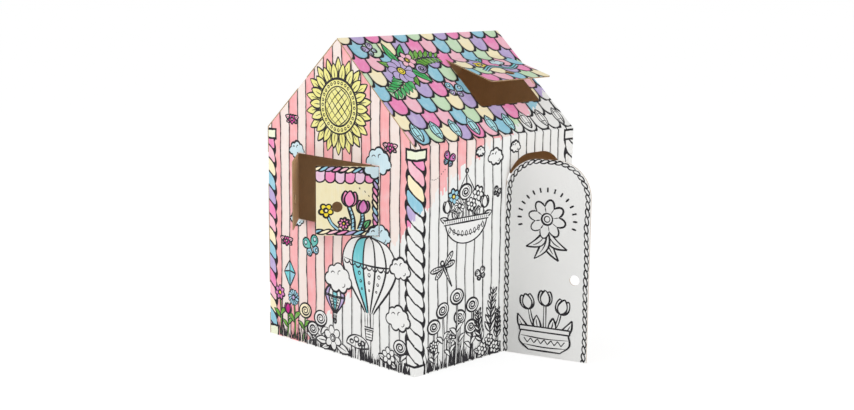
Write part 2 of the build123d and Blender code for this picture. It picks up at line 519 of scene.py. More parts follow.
def shingle_group(pen, settings):
    """Rows of shingles with rounded lower ends, each row half a shingle to the side of the last."""
    tree, wires, end = new_group(
        "shingles",
        {"Place": "vector", "Across": "number", "Up": "number"},
        {"Ink": "number", "Colour step": "number", "Row": "number", "Shade": "number"},
    )
    width, rise, rounding = settings.scale_width, settings.scale_rise, settings.scale_round
    start_across, start_up, far_off = 51.0, 7.0, 99.0
    shade_reach, shade_depth = 11.0, 0.42
    across = (wires["Across"] + start_across) / width
    height = (wires["Up"] - start_up) / rise
    row = height.floor()
    odd = (row % 2.0) * 0.5
    side = abs((across + odd).fraction() - 0.5) * 2.0
    below = 1.0 - ((height - row) * (rise / rounding)).least(1.0)
    reach = (side * side + below * below).root()
    inside = reach < 1.0
    other_side = abs((across + 0.5 - odd).fraction() - 0.5) * 2.0
    outer = (reach - 1.0).least((1.0 - other_side) + (row < 0.5) * far_off)
    distance = between(tree, inside, outer, 1.0 - reach) * (width / 2) + (row < -0.5) * far_off
    this_row = row - 1.0 + inside
    column = between(tree, inside, across + 0.5 - odd, across + odd).floor()
    weight = below * 3.5 + settings.scale_line - 1.0
    ink = pen_ink(tree, pen, wires["Place"], distance, weight)
    shade = (1.0 - distance / shade_reach).most(0.0) * shade_depth
    colour_step = column + 3.0 + this_row * 2.0
    return finish_group(tree, end, Ink=ink, Colour_step=colour_step, Row=this_row, Shade=shade)


def board_group(settings):
    """Brown board: fibres, the flutes under its face, and the flutes seen end on in its cut edges, with
    painted shade in their open hollows.
    """
    tree, wires, end = new_group(
        "board",
        {"Place": "vector", "Across": "number", "Depth": "number", "Edge": "number"},
        {"Colour": "colour", "Height": "number"},
    )
    place = wires["Place"]
    wave = calc(tree, "SINE", wires["Across"] * (tau / settings.flute_pitch))
    middle = wires["Depth"] - BOARD / 2
    flute_height, flute_paper, liner = 1.1, 0.42, 0.35
    between_liners = abs(middle) < BOARD / 2 - liner
    # Painted shade: the open hollows between flutes and liners in a cut edge are coloured dark brown
    painted_flute_shade = (abs(middle - wave * flute_height) > flute_paper) * between_liners * wires["Edge"]
    fibres = noise(tree, vector_calc(tree, "MULTIPLY", place, (1.0, 1.0, 0.25)), 0.35, 4.0)
    clouds = noise(tree, place, 0.012, 3.0)
    tone = (fibres - 0.5) * 0.5 + (clouds - 0.5) * 0.4 + wave * 0.03
    kraft = settings.kraft
    colour = mixed(tree, (tone + 0.5).least(1.0).most(0.0), toned(kraft, 0.72), toned(kraft, 1.3))
    colour = mixed(tree, painted_flute_shade * 0.75, colour, toned(kraft, 0.2))
    return finish_group(tree, end, Colour=colour, Height=wave * (1.0 - wires["Edge"]) + fibres * 0.4)


def sheet_place_group():
    """Turns a place on a sheet's tab round to the frame of the other sheet, which the tab lies against."""
    tree, wires, end = new_group(
        "tab to sheet",
        {"Place": "vector", "Facing": "vector"},
        {"Place": "vector", "Facing": "vector", "Turned": "number"},
    )
    x, y, z = wires["Place"].parts()
    face_x, face_y, face_z = wires["Facing"].parts()
    turned = face_y > 0.3
    other_place = combined(tree, WALL_LENGTH - x, GABLE_WIDTH - y, z)
    other_facing = combined(tree, 0.0 - face_x, 0.0 - face_y, face_z)
    place = mixed(tree, turned, wires["Place"], other_place, "VECTOR")
    facing = mixed(tree, turned, wires["Facing"], other_facing, "VECTOR")
    return finish_group(tree, end, Place=place, Facing=facing, Turned=turned)


# How squarely a face has to point one way, from 0 to 1, to be the printed one of a flap or a roof
SQUARELY = 0.8
COLUMN_BANDS = (LILAC, BLUE, CREAM, LIGHT_PINK, HOT_PINK)
STRANDS = (LIGHT_PINK, HOT_PINK, LILAC, BLUE, CREAM)
SHINGLES = (CREAM, LILAC, HOT_PINK, LIGHT_PINK, BLUE, GREEN)


def sheet_skin(place, facing, on_roof):
    """1 where a sheet is printed, and 0 on its brown side and its cut edges."""
    facing_out, skin_depth = 0.3, BOARD + 1.2
    lap_slack, roof_slack = 0.8, 0.6
    x, y, z = place.parts()
    face_x, face_y, face_z = facing.parts()
    over_roof = (z - EAVE_HEIGHT) * cos(PITCH) - y * sin(PITCH)
    wall_skin = (face_y < -facing_out) * (y < skin_depth)
    gable_skin = (face_x < -facing_out) * (x < skin_depth) * (over_roof < lap_slack - skin_depth)
    return wall_skin.most(gable_skin).most(on_roof * (over_roof > -roof_slack))


def coloured_part(tree, place, along, height, up_slope, on_roof, on_gable):
    """1 in the coloured part, whose ragged edges have one step for each stroke of the marker."""
    stroke, stroke_ends = 9.0, 52.0
    sway, beside_corner = 60.0, 60.0
    near_corner = (along < beside_corner).most(on_gable * (along > GABLE_WIDTH - beside_corner))
    ragged = (lottery(tree, (along / stroke).floor()) - 0.5) * stroke_ends * (1.0 - near_corner * 0.6)
    ragged = ragged + (noise(tree, place, 0.02, 2.0) - 0.5) * sway

    # Each edge is a line with a rise and a height at the start of its panel, and what is over it is coloured
    on_wall, on_slope = height + ragged, up_slope + ragged * 0.5
    masks = []
    for reached, rise, start in ((on_wall, 0.56, 606.0), (on_wall, 0.96, -218.0), (on_slope, 0.52, -262.0)):
        masks.append(reached > (along * rise + start))
    wall_mask, gable_mask, roof_mask = masks
    return between(tree, on_roof, between(tree, on_gable, wall_mask, gable_mask), roof_mask)


def stripes(tree, pen, place, along, on_gable, walls):
    """Striped boarding. Gives its colour, ink and shade."""
    gable_start, wall_start = 80.0, 72.0
    line_scale, shaded_share = 50.0, 1 / 4.5
    gable_stripe = (along - gable_start) / walls.gable_stripe
    wall_stripe = (along - wall_start) / walls.wall_stripe
    stripe = between(tree, on_gable, wall_stripe, gable_stripe)
    part = stripe.fraction()
    from_line = part.least(1.0 - part) * line_scale
    ink = pen_ink(tree, pen, place, from_line, walls.stripe_line)
    grooves = noise(tree, vector_calc(tree, "MULTIPLY", place, (1.0, 1.0, 0.2)), 0.03, 2.0)
    shade = (1.0 - part / shaded_share).most(0.0) * (grooves * 0.5 + 0.02)
    pink = (stripe.floor() % 2.0) > 0.5
    return mixed(tree, pink, walls.between, walls.stripe), ink, shade


def columns(tree, groups, place, along, height, on_gable, walls):
    """Twisted columns at the corners, between square blocks. Gives their colour, ink and extent."""
    far_corner = between(tree, on_gable, WALL_LENGTH, GABLE_WIDTH)
    across = along - between(tree, along > WALL_LENGTH / 2, 0.0, far_corner)
    twist = use_group(
        tree,
        groups["twist"],
        Place=place,
        Across=across,
        Along=height,
        Half=walls.column_half,
        Pitch=walls.column_twist,
        Drop=50.0,
        Fullness=9.0,
        Line=walls.column_line,
        Outline=8.5,
    )
    capital_low, capital_high, base_high = 804.0, 843.0, 38.0
    block_half, block_line, rim = 53.0, 11.0, 4.0
    in_block = (height > capital_low).most(height < base_high)
    in_block = in_block * (abs(across) < block_half) * (height < capital_high)
    block_rim = abs(height - capital_low).least(abs(height - capital_high)).least(abs(height - base_high))
    block_rim = block_rim.least(abs(abs(across) - block_half))
    block_ink = pen_ink(tree, groups["pen"], place, block_rim, block_line)
    in_rim = (height > capital_low - rim).most(height < base_high + rim)
    in_rim = in_rim * (abs(across) < block_half + rim)
    ink = between(tree, in_rim, twist["Ink"], block_ink) * (height < capital_high + rim)
    colour = mixed(tree, in_block, palette(tree, twist["Band"], COLUMN_BANDS), CAPITAL)
    return colour, ink, twist["Inside"].most(in_block) * (height < capital_high)


def sheet_print_group(groups, walls, board):
    """Everything printed on a folded sheet: stripes, corner columns and shingles, half coloured in."""
    takes = {"Place": "vector", "Facing": "vector", "Coloured": "number"}
    tree, wires, end = new_group("sheet print", takes, {"Colour": "colour", "Skin": "number"})
    face_x, face_y, face_z = wires["Facing"].parts()
    on_roof = (face_z * cos(PITCH) - face_y * sin(PITCH)) > SQUARELY
    halfway_round = 0.71
    on_gable = face_x < -halfway_round
    skin = sheet_skin(wires["Place"], wires["Facing"], on_roof)

    # How far along its panel a place is and how far up the slope, moved as by an unsteady hand
    place = use_group(tree, groups["hand"], Place=wires["Place"])["Place"]
    x, y, z = place.parts()
    along = between(tree, on_gable, x, GABLE_WIDTH - y)
    up_slope = y * cos(PITCH) + (z - EAVE_HEIGHT) * sin(PITCH)
    mask = coloured_part(tree, place, along, z, up_slope, on_roof, on_gable) * wires["Coloured"]

    # Walls together, then the roof over them from the lowest shingles up
    stripe_colour, stripe_ink, stripe_shade = stripes(tree, groups["pen"], place, along, on_gable, walls)
    column_colour, column_ink, in_column = columns(tree, groups, place, along, z, on_gable, walls)
    wall_ink = between(tree, in_column, stripe_ink.most(column_ink), column_ink)
    shingle = use_group(tree, groups["shingle"], Place=place, Across=x, Up=up_slope)
    roofed = on_roof * (shingle["Row"] > -0.5)
    colour = mixed(tree, in_column, stripe_colour, column_colour)
    colour = mixed(tree, roofed, colour, palette(tree, shingle["Colour step"], SHINGLES))
    ink = between(tree, on_roof, wall_ink, stripe_ink.most(shingle["Ink"]))
    ink = between(tree, roofed, ink, shingle["Ink"])
    shade = between(tree, roofed, stripe_shade * (1.0 - in_column), shingle["Shade"])
    coloured = use_group(tree, groups["marker"], Place=place, Colour=colour)["Colour"]
    colour = mixed(tree, mask, board.paper, coloured)
    for dark in (shade, ink):
        colour = mixed(tree, dark, colour, board.ink)
    return finish_group(tree, end, Colour=colour, Skin=skin)


def awning(tree, pen, place, out, down, flaps, outline):
    """Tongues with round ends that hang side by side. Gives their colour, ink and extent."""
    round_share, past_end = 0.42, 1.1
    tongue = out / flaps.awning_pitch + 0.5
    side = abs(tongue.fraction() - 0.5) * 2.0
    hang = down / flaps.awning_drop
    below = ((hang - (1.0 - round_share)) / round_share).most(0.0)
    reach = (side * side + below * below).root()
    rim = abs(1.0 - reach) * (flaps.awning_pitch / 2)
    ink = pen_ink(tree, pen, place, rim, outline) * (hang > 0.0) * (hang < past_end)
    colour = palette(tree, tongue.floor(), (PALE_LILAC, HOT_PINK))
    return colour, ink, (reach < 1.0) * (hang > 0.0)


def shutter_print_group(groups, flaps, board):
    """Rope border, awning and plain face of a shutter. Out runs from its crease and Up from its middle."""
    takes = {"Place": "vector", "Out": "number", "Up": "number", "Coloured": "number"}
    tree, wires, end = new_group("shutter print", takes, {"Colour": "colour"})
    place, out, up = wires["Place"], wires["Out"], wires["Up"]
    edge = WINDOW_HEIGHT / 2
    rope_middle, rope_foot, outline = 13.5, 23.0, 5.5
    lower = up < 0.0
    make_rope = partial(
        use_group,
        tree,
        groups["rope"],
        Place=place,
        Lean=11.0,
        Thickness=flaps.shutter_rope,
        Length=1.2,
        Outline=outline,
    )
    from_rope = up - calc(tree, "SIGN", up) * (edge - rope_middle)
    twist = between(tree, lower, flaps.rope_twist, flaps.rope_twist * 1.3)
    flat = make_rope(Across=from_rope, Along=out, Pitch=twist)
    upright = make_rope(Across=rope_middle - out, Along=up, Pitch=flaps.rope_twist)

    # Awning under the upper rope, then the ropes over it
    down = edge - rope_foot - up
    stuff, awning_ink, in_awning = awning(tree, groups["pen"], place, out, down, flaps, outline)
    colour = mixed(tree, in_awning, flaps.face, stuff)
    in_rope = flat["Inside"].most(upright["Inside"])
    flat_band = between(tree, lower, flat["Band"], float(len(STRANDS)) - flat["Band"])
    strand = between(tree, flat["Inside"], upright["Band"], flat_band)
    colour = mixed(tree, in_rope, colour, palette(tree, strand, STRANDS))
    coloured = use_group(tree, groups["marker"], Place=place, Colour=colour)["Colour"]
    colour = mixed(tree, wires["Coloured"], board.paper, coloured)
    upright_ink = between(tree, flat["Inside"], upright["Ink"], 0.0)
    rope_ink = flat["Ink"].most(upright_ink)
    ink = between(tree, in_rope, awning_ink.most(rope_ink), rope_ink)
    return finish_group(tree, end, Colour=mixed(tree, ink, colour, board.ink))


def door_print_group(groups, flaps, board):
    """Rope that runs up both sides of the door and round its arch, on a white face."""
    takes = {"Place": "vector", "Out": "number", "Up": "number"}
    tree, wires, end = new_group("door print", takes, {"Colour": "colour"})
    half_width, rope_middle = DOOR_WIDTH / 2, 13.0
    flat_half, spring = half_width - DOOR_SHOULDER, DOOR_HEIGHT - DOOR_SHOULDER
    from_middle = abs(wires["Out"] - half_width)
    arch_x = (from_middle - flat_half).most(0.0)
    arch_z = (wires["Up"] - spring).most(0.0)
    inset = DOOR_SHOULDER - (arch_x * arch_x + arch_z * arch_z).root()
    angle = calc(tree, "ARCTAN2", arch_z, arch_x)
    to_top = spring - wires["Up"].least(spring) + (pi / 2 - angle) * DOOR_SHOULDER
    to_top = to_top + from_middle.least(flat_half)
    along = to_top * calc(tree, "SIGN", wires["Out"] - half_width)
    rope = use_group(
        tree,
        groups["rope"],
        Place=wires["Place"],
        Across=inset - rope_middle,
        Along=along,
        Pitch=flaps.rope_twist * 1.22,
        Lean=8.0,
        Thickness=flaps.door_rope,
        Length=0.94,
        Outline=4.8,
    )
    return finish_group(tree, end, Colour=mixed(tree, rope["Ink"], board.paper, board.ink))


def closing_turn(hinge):
    """The matrix, in the row frame, that turns a flap from rest to closed."""
    joint = joints[hinge]
    centre = Vector(joint["pos_m"])
    turn = Matrix.Rotation(radians(joint["range_deg"][0]), 4, Vector(joint["axis"]))
    return Matrix.Translation(centre) @ turn @ Matrix.Translation(-centre)


def mapped(tree, vector, matrix, kind):
    """A place or a direction taken through a matrix by a Mapping node."""
    node = tree.nodes.new("ShaderNodeMapping")
    node.vector_type = "POINT" if kind == "place" else "VECTOR"
    plug(tree, node.inputs["Vector"], vector)
    node.inputs["Rotation"].default_value = matrix.to_euler("XYZ")
    if kind == "place":
        node.inputs["Location"].default_value = matrix.translation
    return Wire(tree, node.outputs[0])


def board_material(name, to_sheet, print_of, groups, board):
    """Printed board. to_sheet takes the row frame to the sheet's own, and print_of draws its skin."""
    material, tree = new_material(name)
    source = tree.nodes.new("ShaderNodeTexCoord")
    place = mapped(tree, Wire(tree, source.outputs["Object"]), to_sheet, "place")
    place = scaled(tree, place, 1 / MM)
    facing = mapped(tree, Wire(tree, source.outputs["Normal"]), to_sheet, "direction")
    tabbed = use_group(tree, groups["tab"], Place=place, Facing=facing)
    colour, skin = print_of(tree, tabbed)

    # Brown wherever the board isn't printed, with the depth measured from its printed face
    x, y, z = tabbed["Place"].parts()
    face_x, face_y, face_z = tabbed["Facing"].parts()
    roof_depth = y * sin(PITCH) - (z - EAVE_HEIGHT) * cos(PITCH)
    roof_slack, eave_slack, gable_slack = 0.4, 1.0, 0.3
    in_roof = (abs(roof_depth - BOARD / 2) < BOARD / 2 + roof_slack) * (z > EAVE_HEIGHT - eave_slack)
    in_gable = (x < BOARD + gable_slack) * (1.0 - in_roof)
    depth = between(tree, in_roof, between(tree, in_gable, y, x), roof_depth)
    across = between(tree, in_gable, x, y)
    through = between(tree, in_gable, face_y, face_x)
    through = between(tree, in_roof, through, face_z * cos(PITCH) - face_y * sin(PITCH))
    edge = abs(through) < 0.5
    brown = use_group(tree, groups["board"], Place=tabbed["Place"], Across=across, Depth=depth, Edge=edge)
    colour = mixed(tree, skin, brown["Colour"], colour)

    brown_roughness, flute_depth = 0.92, 0.4
    grain = noise(tree, tabbed["Place"], 0.9, 3.0)
    roughness = between(tree, skin, brown_roughness, grain * 0.2 + PAPER_ROUGHNESS)
    shader = matt_shader(tree, colour, roughness)
    bump = tree.nodes.new("ShaderNodeBump")
    bump.inputs["Strength"].default_value = board.flute_show
    bump.inputs["Distance"].default_value = flute_depth * MM
    plug(tree, bump.inputs["Height"], brown["Height"] + grain * 0.5)
    tree.links.new(bump.outputs[0], shader.inputs["Normal"])
    show(tree, shader)
    return material


def dress(node, material):
    """Gives a CAD node its finish."""
    slots = frame["nodes"][node].data.materials
    slots.clear()
    slots.append(material)


def print_groups(scene):
    """The node groups, each made once."""
    board, flaps, pen = scene.board_finish, scene.flap_print, pen_group()
    groups = {
        "pen": pen,
        "hand": unsteady_hand_group(),
        "marker": marker_group(),
        "tab": sheet_place_group(),
        "twist": twist_group(pen),
        "rope": rope_group(pen),
        "shingle": shingle_group(pen, scene.roof_print),
        "board": board_group(board),
    }
    groups["sheet"] = sheet_print_group(groups, scene.wall_print, board)
    groups["shutter"] = shutter_print_group(groups, flaps, board)
    groups["door"] = door_print_group(groups, flaps, board)
    return groups


# Node groups and finishes that the operators share
shared = {}
shared_finishes = {}


def shared_groups():
    """The node groups of this run."""
    if not shared:
        shared.update(print_groups(bpy.context.scene))
    return shared


def print_sheet(tree, tabbed, coloured):
    """Prints a sheet, with its colour on the front sheet's faces only."""
    here = 1.0 - tabbed["Turned"] if coloured else tabbed["Turned"]
    sheet = shared_groups()["sheet"]
    made = use_group(tree, sheet, Place=tabbed["Place"], Facing=tabbed["Facing"], Coloured=here)
    return made["Colour"], made["Skin"]


def print_shutter(tree, tabbed, near, coloured):
    """Prints a shutter, hinged near the sheet's folded corner or far from it."""
    place = use_group(tree, shared_groups()["hand"], Place=tabbed["Place"])["Place"]
    x, y, z = place.parts()
    out = y - WINDOW_START if near else WINDOW_END - y
    shutter, colour_share = shared_groups()["shutter"], float(coloured)
    made = use_group(tree, shutter, Place=place, Out=out, Up=z - WINDOW_MIDDLE, Coloured=colour_share)
    return made["Colour"], tabbed["Facing"].parts()[0] < -SQUARELY


def print_door(tree, tabbed):
    """Prints the door."""
    place = use_group(tree, shared_groups()["hand"], Place=tabbed["Place"])["Place"]
    x, y, z = place.parts()
    made = use_group(tree, shared_groups()["door"], Place=place, Out=x - DOOR_OFFSET, Up=z)
    return made["Colour"], (tabbed["Facing"].parts()[1] < -SQUARELY) * (1.0 - tabbed["Turned"])


# Shutters, each with whether its crease is near the folded corner of its sheet and whether it is coloured in
SHUTTERS = (
    ("left_front", True, True),
    ("left_back", False, True),
    ("right_back", True, False),
    ("right_front", False, False),
)


class PLAYHOUSE_OT_sheets(bpy.types.Operator):
    """Prints the two folded sheets that make the walls, gables and roof"""

    bl_idname = "playhouse.sheets"
    bl_label = "Print the sheets"

    def execute(self, context):
        board = context.scene.board_finish
        sheets = (("front_sheet", FRONT_CORNER, True), ("back_sheet", BACK_CORNER, False))
        for node, corner, coloured in sheets:
            printer = partial(print_sheet, coloured=coloured)
            dress(node, board_material(node + " board", corner.inverted(), printer, shared_groups(), board))
        return {"FINISHED"}


class PLAYHOUSE_OT_flaps(bpy.types.Operator):
    """Prints the door, the four shutters and the skylight's flap"""

    bl_idname = "playhouse.flaps"
    bl_label = "Print the flaps"

    def execute(self, context):
        board = context.scene.board_finish
        flaps = [
            ("door", "door_hinge", FRONT_CORNER, print_door),
            ("skylight_flap", "skylight_hinge", FRONT_CORNER, partial(print_sheet, coloured=True)),
        ]
        for name, near, coloured in SHUTTERS:
            corner = FRONT_CORNER if coloured else BACK_CORNER
            printer = partial(print_shutter, near=near, coloured=coloured)
            flaps.append((name + "_shutter", name + "_hinge", corner, printer))
        for node, hinge, corner, printer in flaps:
            to_sheet = corner.inverted() @ closing_turn(hinge)
            dress(node, board_material(node + " board", to_sheet, printer, shared_groups(), board))
        return {"FINISHED"}


# Pictures are drawn in a panel's own millimetres. A place is a complex number, across + up * 1j


def ring(centre, radius, lobes=0, depth=0.0, stretch=1.0, turn=0.0, steps=40):
    """A round outline, whose lobes meet in sharp notches."""
    points = []
    for step in range(steps):
        angle = tau * step / steps
        reach = radius * (1 - depth + depth * abs(sin(lobes * angle / 2)))
        points.append(centre + rect(1, turn) * complex(reach * cos(angle) * stretch, reach * sin(angle)))
    return points


def puffs(centre, lumps):
    """The outer edge of round lumps that overlap about one place."""
    steps = 96
    points = []
    for step in range(steps):
        way = rect(1, tau * step / steps)
        reach = 0.0
        for middle, radius in lumps:
            ahead = middle * way.conjugate()
            if radius > abs(ahead.imag):
                reach = max(reach, ahead.real + (radius**2 - ahead.imag**2) ** 0.5)
        points.append(centre + reach * way)
    return points


def arc(centre, radius, start, end, stretch=1.0, steps=10):
    """Part of a round line, from one angle to another."""
    angles = [start + (end - start) * step / steps for step in range(steps + 1)]
    return [centre + radius * complex(cos(angle) * stretch, sin(angle)) for angle in angles]


def petal(root, tip, width, blunt=1.0, swell=1.0, bend=0.0, steps=9):
    """The two sides of a petal or leaf. Blunt under 1 rounds its ends and swell over 1 fills its tip."""
    way = tip - root
    sides = []
    for hand in (1, -1):
        side = []
        for step in range(steps + 1):
            share = step / steps
            out = hand * width / 2 * max(0.0, sin(pi * share**swell)) ** blunt / abs(way)
            side.append(root + way * (share + 1j * (out + bend * sin(pi * share))))
        sides.append(side)
    return [sides[0], sides[1][::-1]]


def sweep(*marks, steps=6):
    """A smooth line through the marks."""
    line = [2 * marks[0] - marks[1], *marks, 2 * marks[-1] - marks[-2]]
    points = []
    for before, start, end, after in zip(line, line[1:], line[2:], line[3:]):
        for share in (step / steps for step in range(steps)):
            cubic = share * (3 * (start - end) + after - before)
            square = share * (2 * before - 5 * start + 4 * end - after + cubic)
            points.append(start + 0.5 * share * (end - before + square))
    return [*points, marks[-1]]


def band(path, width, end_share=1.0):
    """The two sides of a strip along a path, which may narrow towards its end."""
    left, right = [], []
    for index, point in enumerate(path):
        way = path[min(index + 1, len(path) - 1)] - path[max(index - 1, 0)]
        half = width / 2 * (1 + (end_share - 1) * index / (len(path) - 1))
        left.append(point + 1j * way / abs(way) * half)
        right.append(point - 1j * way / abs(way) * half)
    return [left, right[::-1]]


def with_next(marks):
    """Each mark of an outline with the one after it."""
    return zip(marks, marks[1:] + marks[:1])


def corners(*marks):
    """A straight-sided outline, with a side from each mark to the next."""
    return [[start, (start + end) / 2, end] for start, end in with_next(marks)]


class Picture:
    """Fields of colour and pen strokes on one panel."""

    def __init__(self, seed, pens, weight):
        self.chance = Random(seed)
        self.pen = pens.pen
        self.fine_pen = pens.fine_pen
        self.grass_blades = pens.grass_blades
        self.weight = weight
        self.fields = []
        self.strokes = []
        self.level = 0

    def start(self, level=0):
        """Begins a picture that lies on the board, or over what was drawn below a level."""
        self.level = level

    def add(self, draw, *details, level=0, **options):
        """Draws one thing by its function, on the board or over what was drawn below a level."""
        self.start(level)
        draw(self, *details, **options)

    def line(self, points, width=0.0, ends=0.35, closed=False, blade=False):
        """A pen stroke, heavier in one place than in another. A blade thins to its tip alone."""
        unevenness, thinning, taper = 0.25, 0.75, 5
        phase = self.chance.uniform(0, tau)
        last = len(points) - (0 if closed else 1)
        halves = []
        for step in range(len(points)):
            share = step / last
            half = self.weight * (width or self.fine_pen) / 2 * (1 + unevenness * sin(phase + tau * share))
            if blade:
                half *= 1.0 - thinning * share
            elif not closed:
                half *= ends + (1 - ends) * min(1, taper * share, taper * (1 - share))
            halves.append(half)
        self.strokes.append((points, halves, closed, self.level + 0.5))

    def shape(self, sides, colour=None, width=0.0):
        """A field of marker colour, or of bare paper, with a pen line round it."""
        self.level += 1
        outline = [point for side in sides for point in side]
        self.fields.append((outline, colour, self.level))
        for side in sides:
            self.line(side, width or self.pen, ends=0.8, closed=len(sides) == 1)


def leaf(picture, root, tip, width, colour=None, bend=0.0):
    """A pointed leaf with its middle vein."""
    picture.shape(petal(root, tip, width, bend=bend), colour)
    picture.line(petal(root, tip, 0.0, bend=bend)[0][:8])


def stem(picture, *marks, colour=None, width=8.0):
    """A stem through the marks."""
    picture.shape(band(sweep(*marks), width, 0.8), colour, picture.fine_pen)


def daisy(picture, centre, radius, petals=8, colour=None, heart=None, turn=0.2, thin=False):
    """A flower of round petals, or of thin pointed ones, round a heart."""
    if not thin:
        picture.shape([ring(centre, radius, petals, 0.34, turn=turn, steps=petals * 8)], colour)
    for step in range(petals):
        way = rect(1, turn + tau * step / petals)
        if thin:
            width = 1.9 * radius * sin(pi / petals)
            picture.shape(petal(centre, centre + radius * way, width, 0.8, 1.5), colour, 3.6)
        else:
            picture.line([centre + radius * share * way for share in (0.64, 0.5, 0.34)])
    picture.shape([ring(centre, radius * 0.29)], heart)
    if radius > 40:
        picture.line(ring(centre, radius * 0.15, steps=20), closed=True)


def tulip(picture, foot, size, colour=None, turn=pi / 2):
    """A tulip with its middle petal in front."""
    width = min(picture.pen, 0.12 * size)
    for lean in (0.32, -0.32, 0.0):
        picture.shape(petal(foot, foot + rect(size, turn + lean), size * 0.62, 0.75, 0.85), colour, width)


def spiral_bloom(picture, centre, radius, colour=None, turn=0.3):
    """A round bloom with its petals as one spiral."""
    stretch, turns, steps = 1.2, 2.2, 40
    picture.shape([ring(centre, radius, stretch=stretch, turn=turn)], colour, picture.pen * 1.2)
    points = []
    for share in (step / steps for step in range(steps)):
        reach = radius * (0.1 + 0.66 * share)
        angle = turns * tau * share
        points.append(centre + rect(1, turn) * complex(reach * cos(angle) * stretch, reach * sin(angle)))
    picture.line(points, picture.pen)


def fern(picture, foot, tip, size, bend=0.1, colour=None, pairs=8, spread=0.8, slim=0.4, line=3.4):
    """A frond with pairs of narrow leaves along its rib, each pair over the pair above it."""
    path = petal(foot, tip, 0.0, bend=bend, steps=pairs + 1)[0]
    level, layers = picture.level, 4
    for index in range(pairs, pairs // 4, -1):
        way = (path[index + 1] - path[index - 1]) / abs(path[index + 1] - path[index - 1])
        length = size * (1.1 - 0.55 * index / pairs)
        for hand in (1, -1):
            picture.start(level + (pairs - index) % layers)
            tip = path[index] + way * rect(length, hand * spread)
            picture.shape(petal(path[index], tip, length * slim, steps=6), colour, line)
    picture.start(level + layers + 1)
    picture.line(path, picture.pen)


def butterfly(picture, centre, size, turn=0.0, upper=None, lower=None, spot=None):
    """A butterfly with its wings spread."""
    lean = size * rect(1, turn)
    for hand in (1, -1):
        for angle, length, width, colour in ((-0.6, 0.72, 0.55, lower), (0.75, 1.0, 0.72, upper)):
            way = complex(hand * cos(angle), sin(angle)) * length * lean
            picture.shape(petal(centre, centre + way, size * width, 0.55, 1.5), colour)
            eye = ring(centre + 0.68 * way, size * width * 0.2, steps=16)
            picture.shape([eye], spot, picture.fine_pen)
        feeler = [complex(hand * across, up) for across, up in ((0.03, 0.3), (0.1, 0.6), (0.28, 0.78))]
        picture.line(sweep(*(centre + mark * lean for mark in feeler), steps=4))
    picture.shape(petal(centre - 0.42j * lean, centre + 0.38j * lean, size * 0.17, 0.6))


def dragonfly(picture, centre, size, turn=0.0):
    """A dragonfly with two pairs of long wings."""
    lean = size * rect(1, turn)
    for hand in (1, -1):
        for angle, length in ((-0.25, 0.8), (0.35, 0.95)):
            way = complex(hand * cos(angle), sin(angle)) * length * lean
            picture.shape(petal(centre, centre + way, size * 0.26, 0.6, 1.3))
            picture.line([centre + share * way for share in (0.15, 0.5, 0.85)])
            for share in (0.4, 0.6, 0.75):
                picture.line([centre + way * complex(share, out) for out in (-0.1, 0.0, 0.1)])
    picture.shape(petal(centre - 1.2j * lean, centre + 0.2j * lean, size * 0.13, 0.5, 1.6))
    for share in (0.3, 0.5, 0.7, 0.9):
        picture.line([centre + complex(out, -share) * lean for out in (-0.045, 0.0, 0.045)])
    picture.shape([ring(centre + 0.24j * lean, size * 0.11, steps=20)])


# Beyond every panel
FAR = 9999.0
CLOUD_LUMPS = (
    (-0.82 - 0.12j, 0.4),
    (-0.5 + 0.36j, 0.42),
    (0.08 + 0.5j, 0.5),
    (0.62 + 0.28j, 0.42),
    (0.9 - 0.14j, 0.36),
    (0.42 - 0.46j, 0.4),
    (-0.26 - 0.46j, 0.42),
)


def held_in(mark, low, high):
    """The place nearest to a mark in the rectangle between two corners."""
    return complex(min(max(mark.real, low.real), high.real), min(max(mark.imag, low.imag), high.imag))


def cloud(picture, centre, size, colour=None, low=complex(-FAR, -FAR), high=complex(FAR, FAR)):
    """A cloud of round puffs with curls in it, cut off where it would pass the low or high corner."""
    whole = puffs(centre, [(middle * size, radius * size) for middle, radius in CLOUD_LUMPS])
    cut = [held_in(mark, low, high) for mark in whole]
    picture.level += 1
    picture.fields.append((cut, colour, picture.level))
    run = []
    for mark, kept in zip(whole + whole[:1], cut + cut[:1]):
        if mark == kept:
            run.append(mark)
        elif len(run) > 2:
            picture.line(run, picture.pen * 1.2, ends=0.8)
            run = []
    if len(run) > 2:
        picture.line(run, picture.pen * 1.2, ends=0.9)
    for across, up, turn in ((-0.5, 0.2, 0.4), (0.16, 0.3, 1.2), (0.48, -0.26, 4.2)):
        curl = centre + size * complex(across, up)
        marks = [curl + rect(size * (0.24 - 0.012 * step), turn + 0.3 * step) for step in range(9)]
        if all(mark == held_in(mark, low, high) for mark in marks):
            picture.line(marks)


def toadstool(picture, foot, size):
    """A toadstool with a spotted cap."""
    picture.shape(band([foot, foot + 0.3j * size, foot + 0.55j * size], size * 0.34, 0.75))
    under = foot + 0.5j * size
    brim = sweep(under - 0.75 * size, under - 0.12j * size, under + 0.75 * size)
    picture.shape([arc(under, size * 0.5, 0, pi, 1.5, 18), brim])
    for across, up, share in ((-0.4, 0.14, 0.09), (-0.08, 0.29, 0.12), (0.34, 0.17, 0.1), (0.12, 0.08, 0.06)):
        picture.shape([ring(under + size * complex(across, up), size * share, stretch=1.3, steps=18)])


def blossom(picture, centre, size, colour, leaves):
    """A small blossom between two leaves."""
    for hand in (1, -1):
        leaf(picture, centre, centre + size * complex(hand, 0.28), size * 0.5, leaves)
        leaf(picture, centre, centre + size * complex(0.85 * hand, -0.32), size * 0.4, leaves)
    daisy(picture, centre, size * 0.5, 5, colour, LIGHT_PINK, turn=pi / 2)


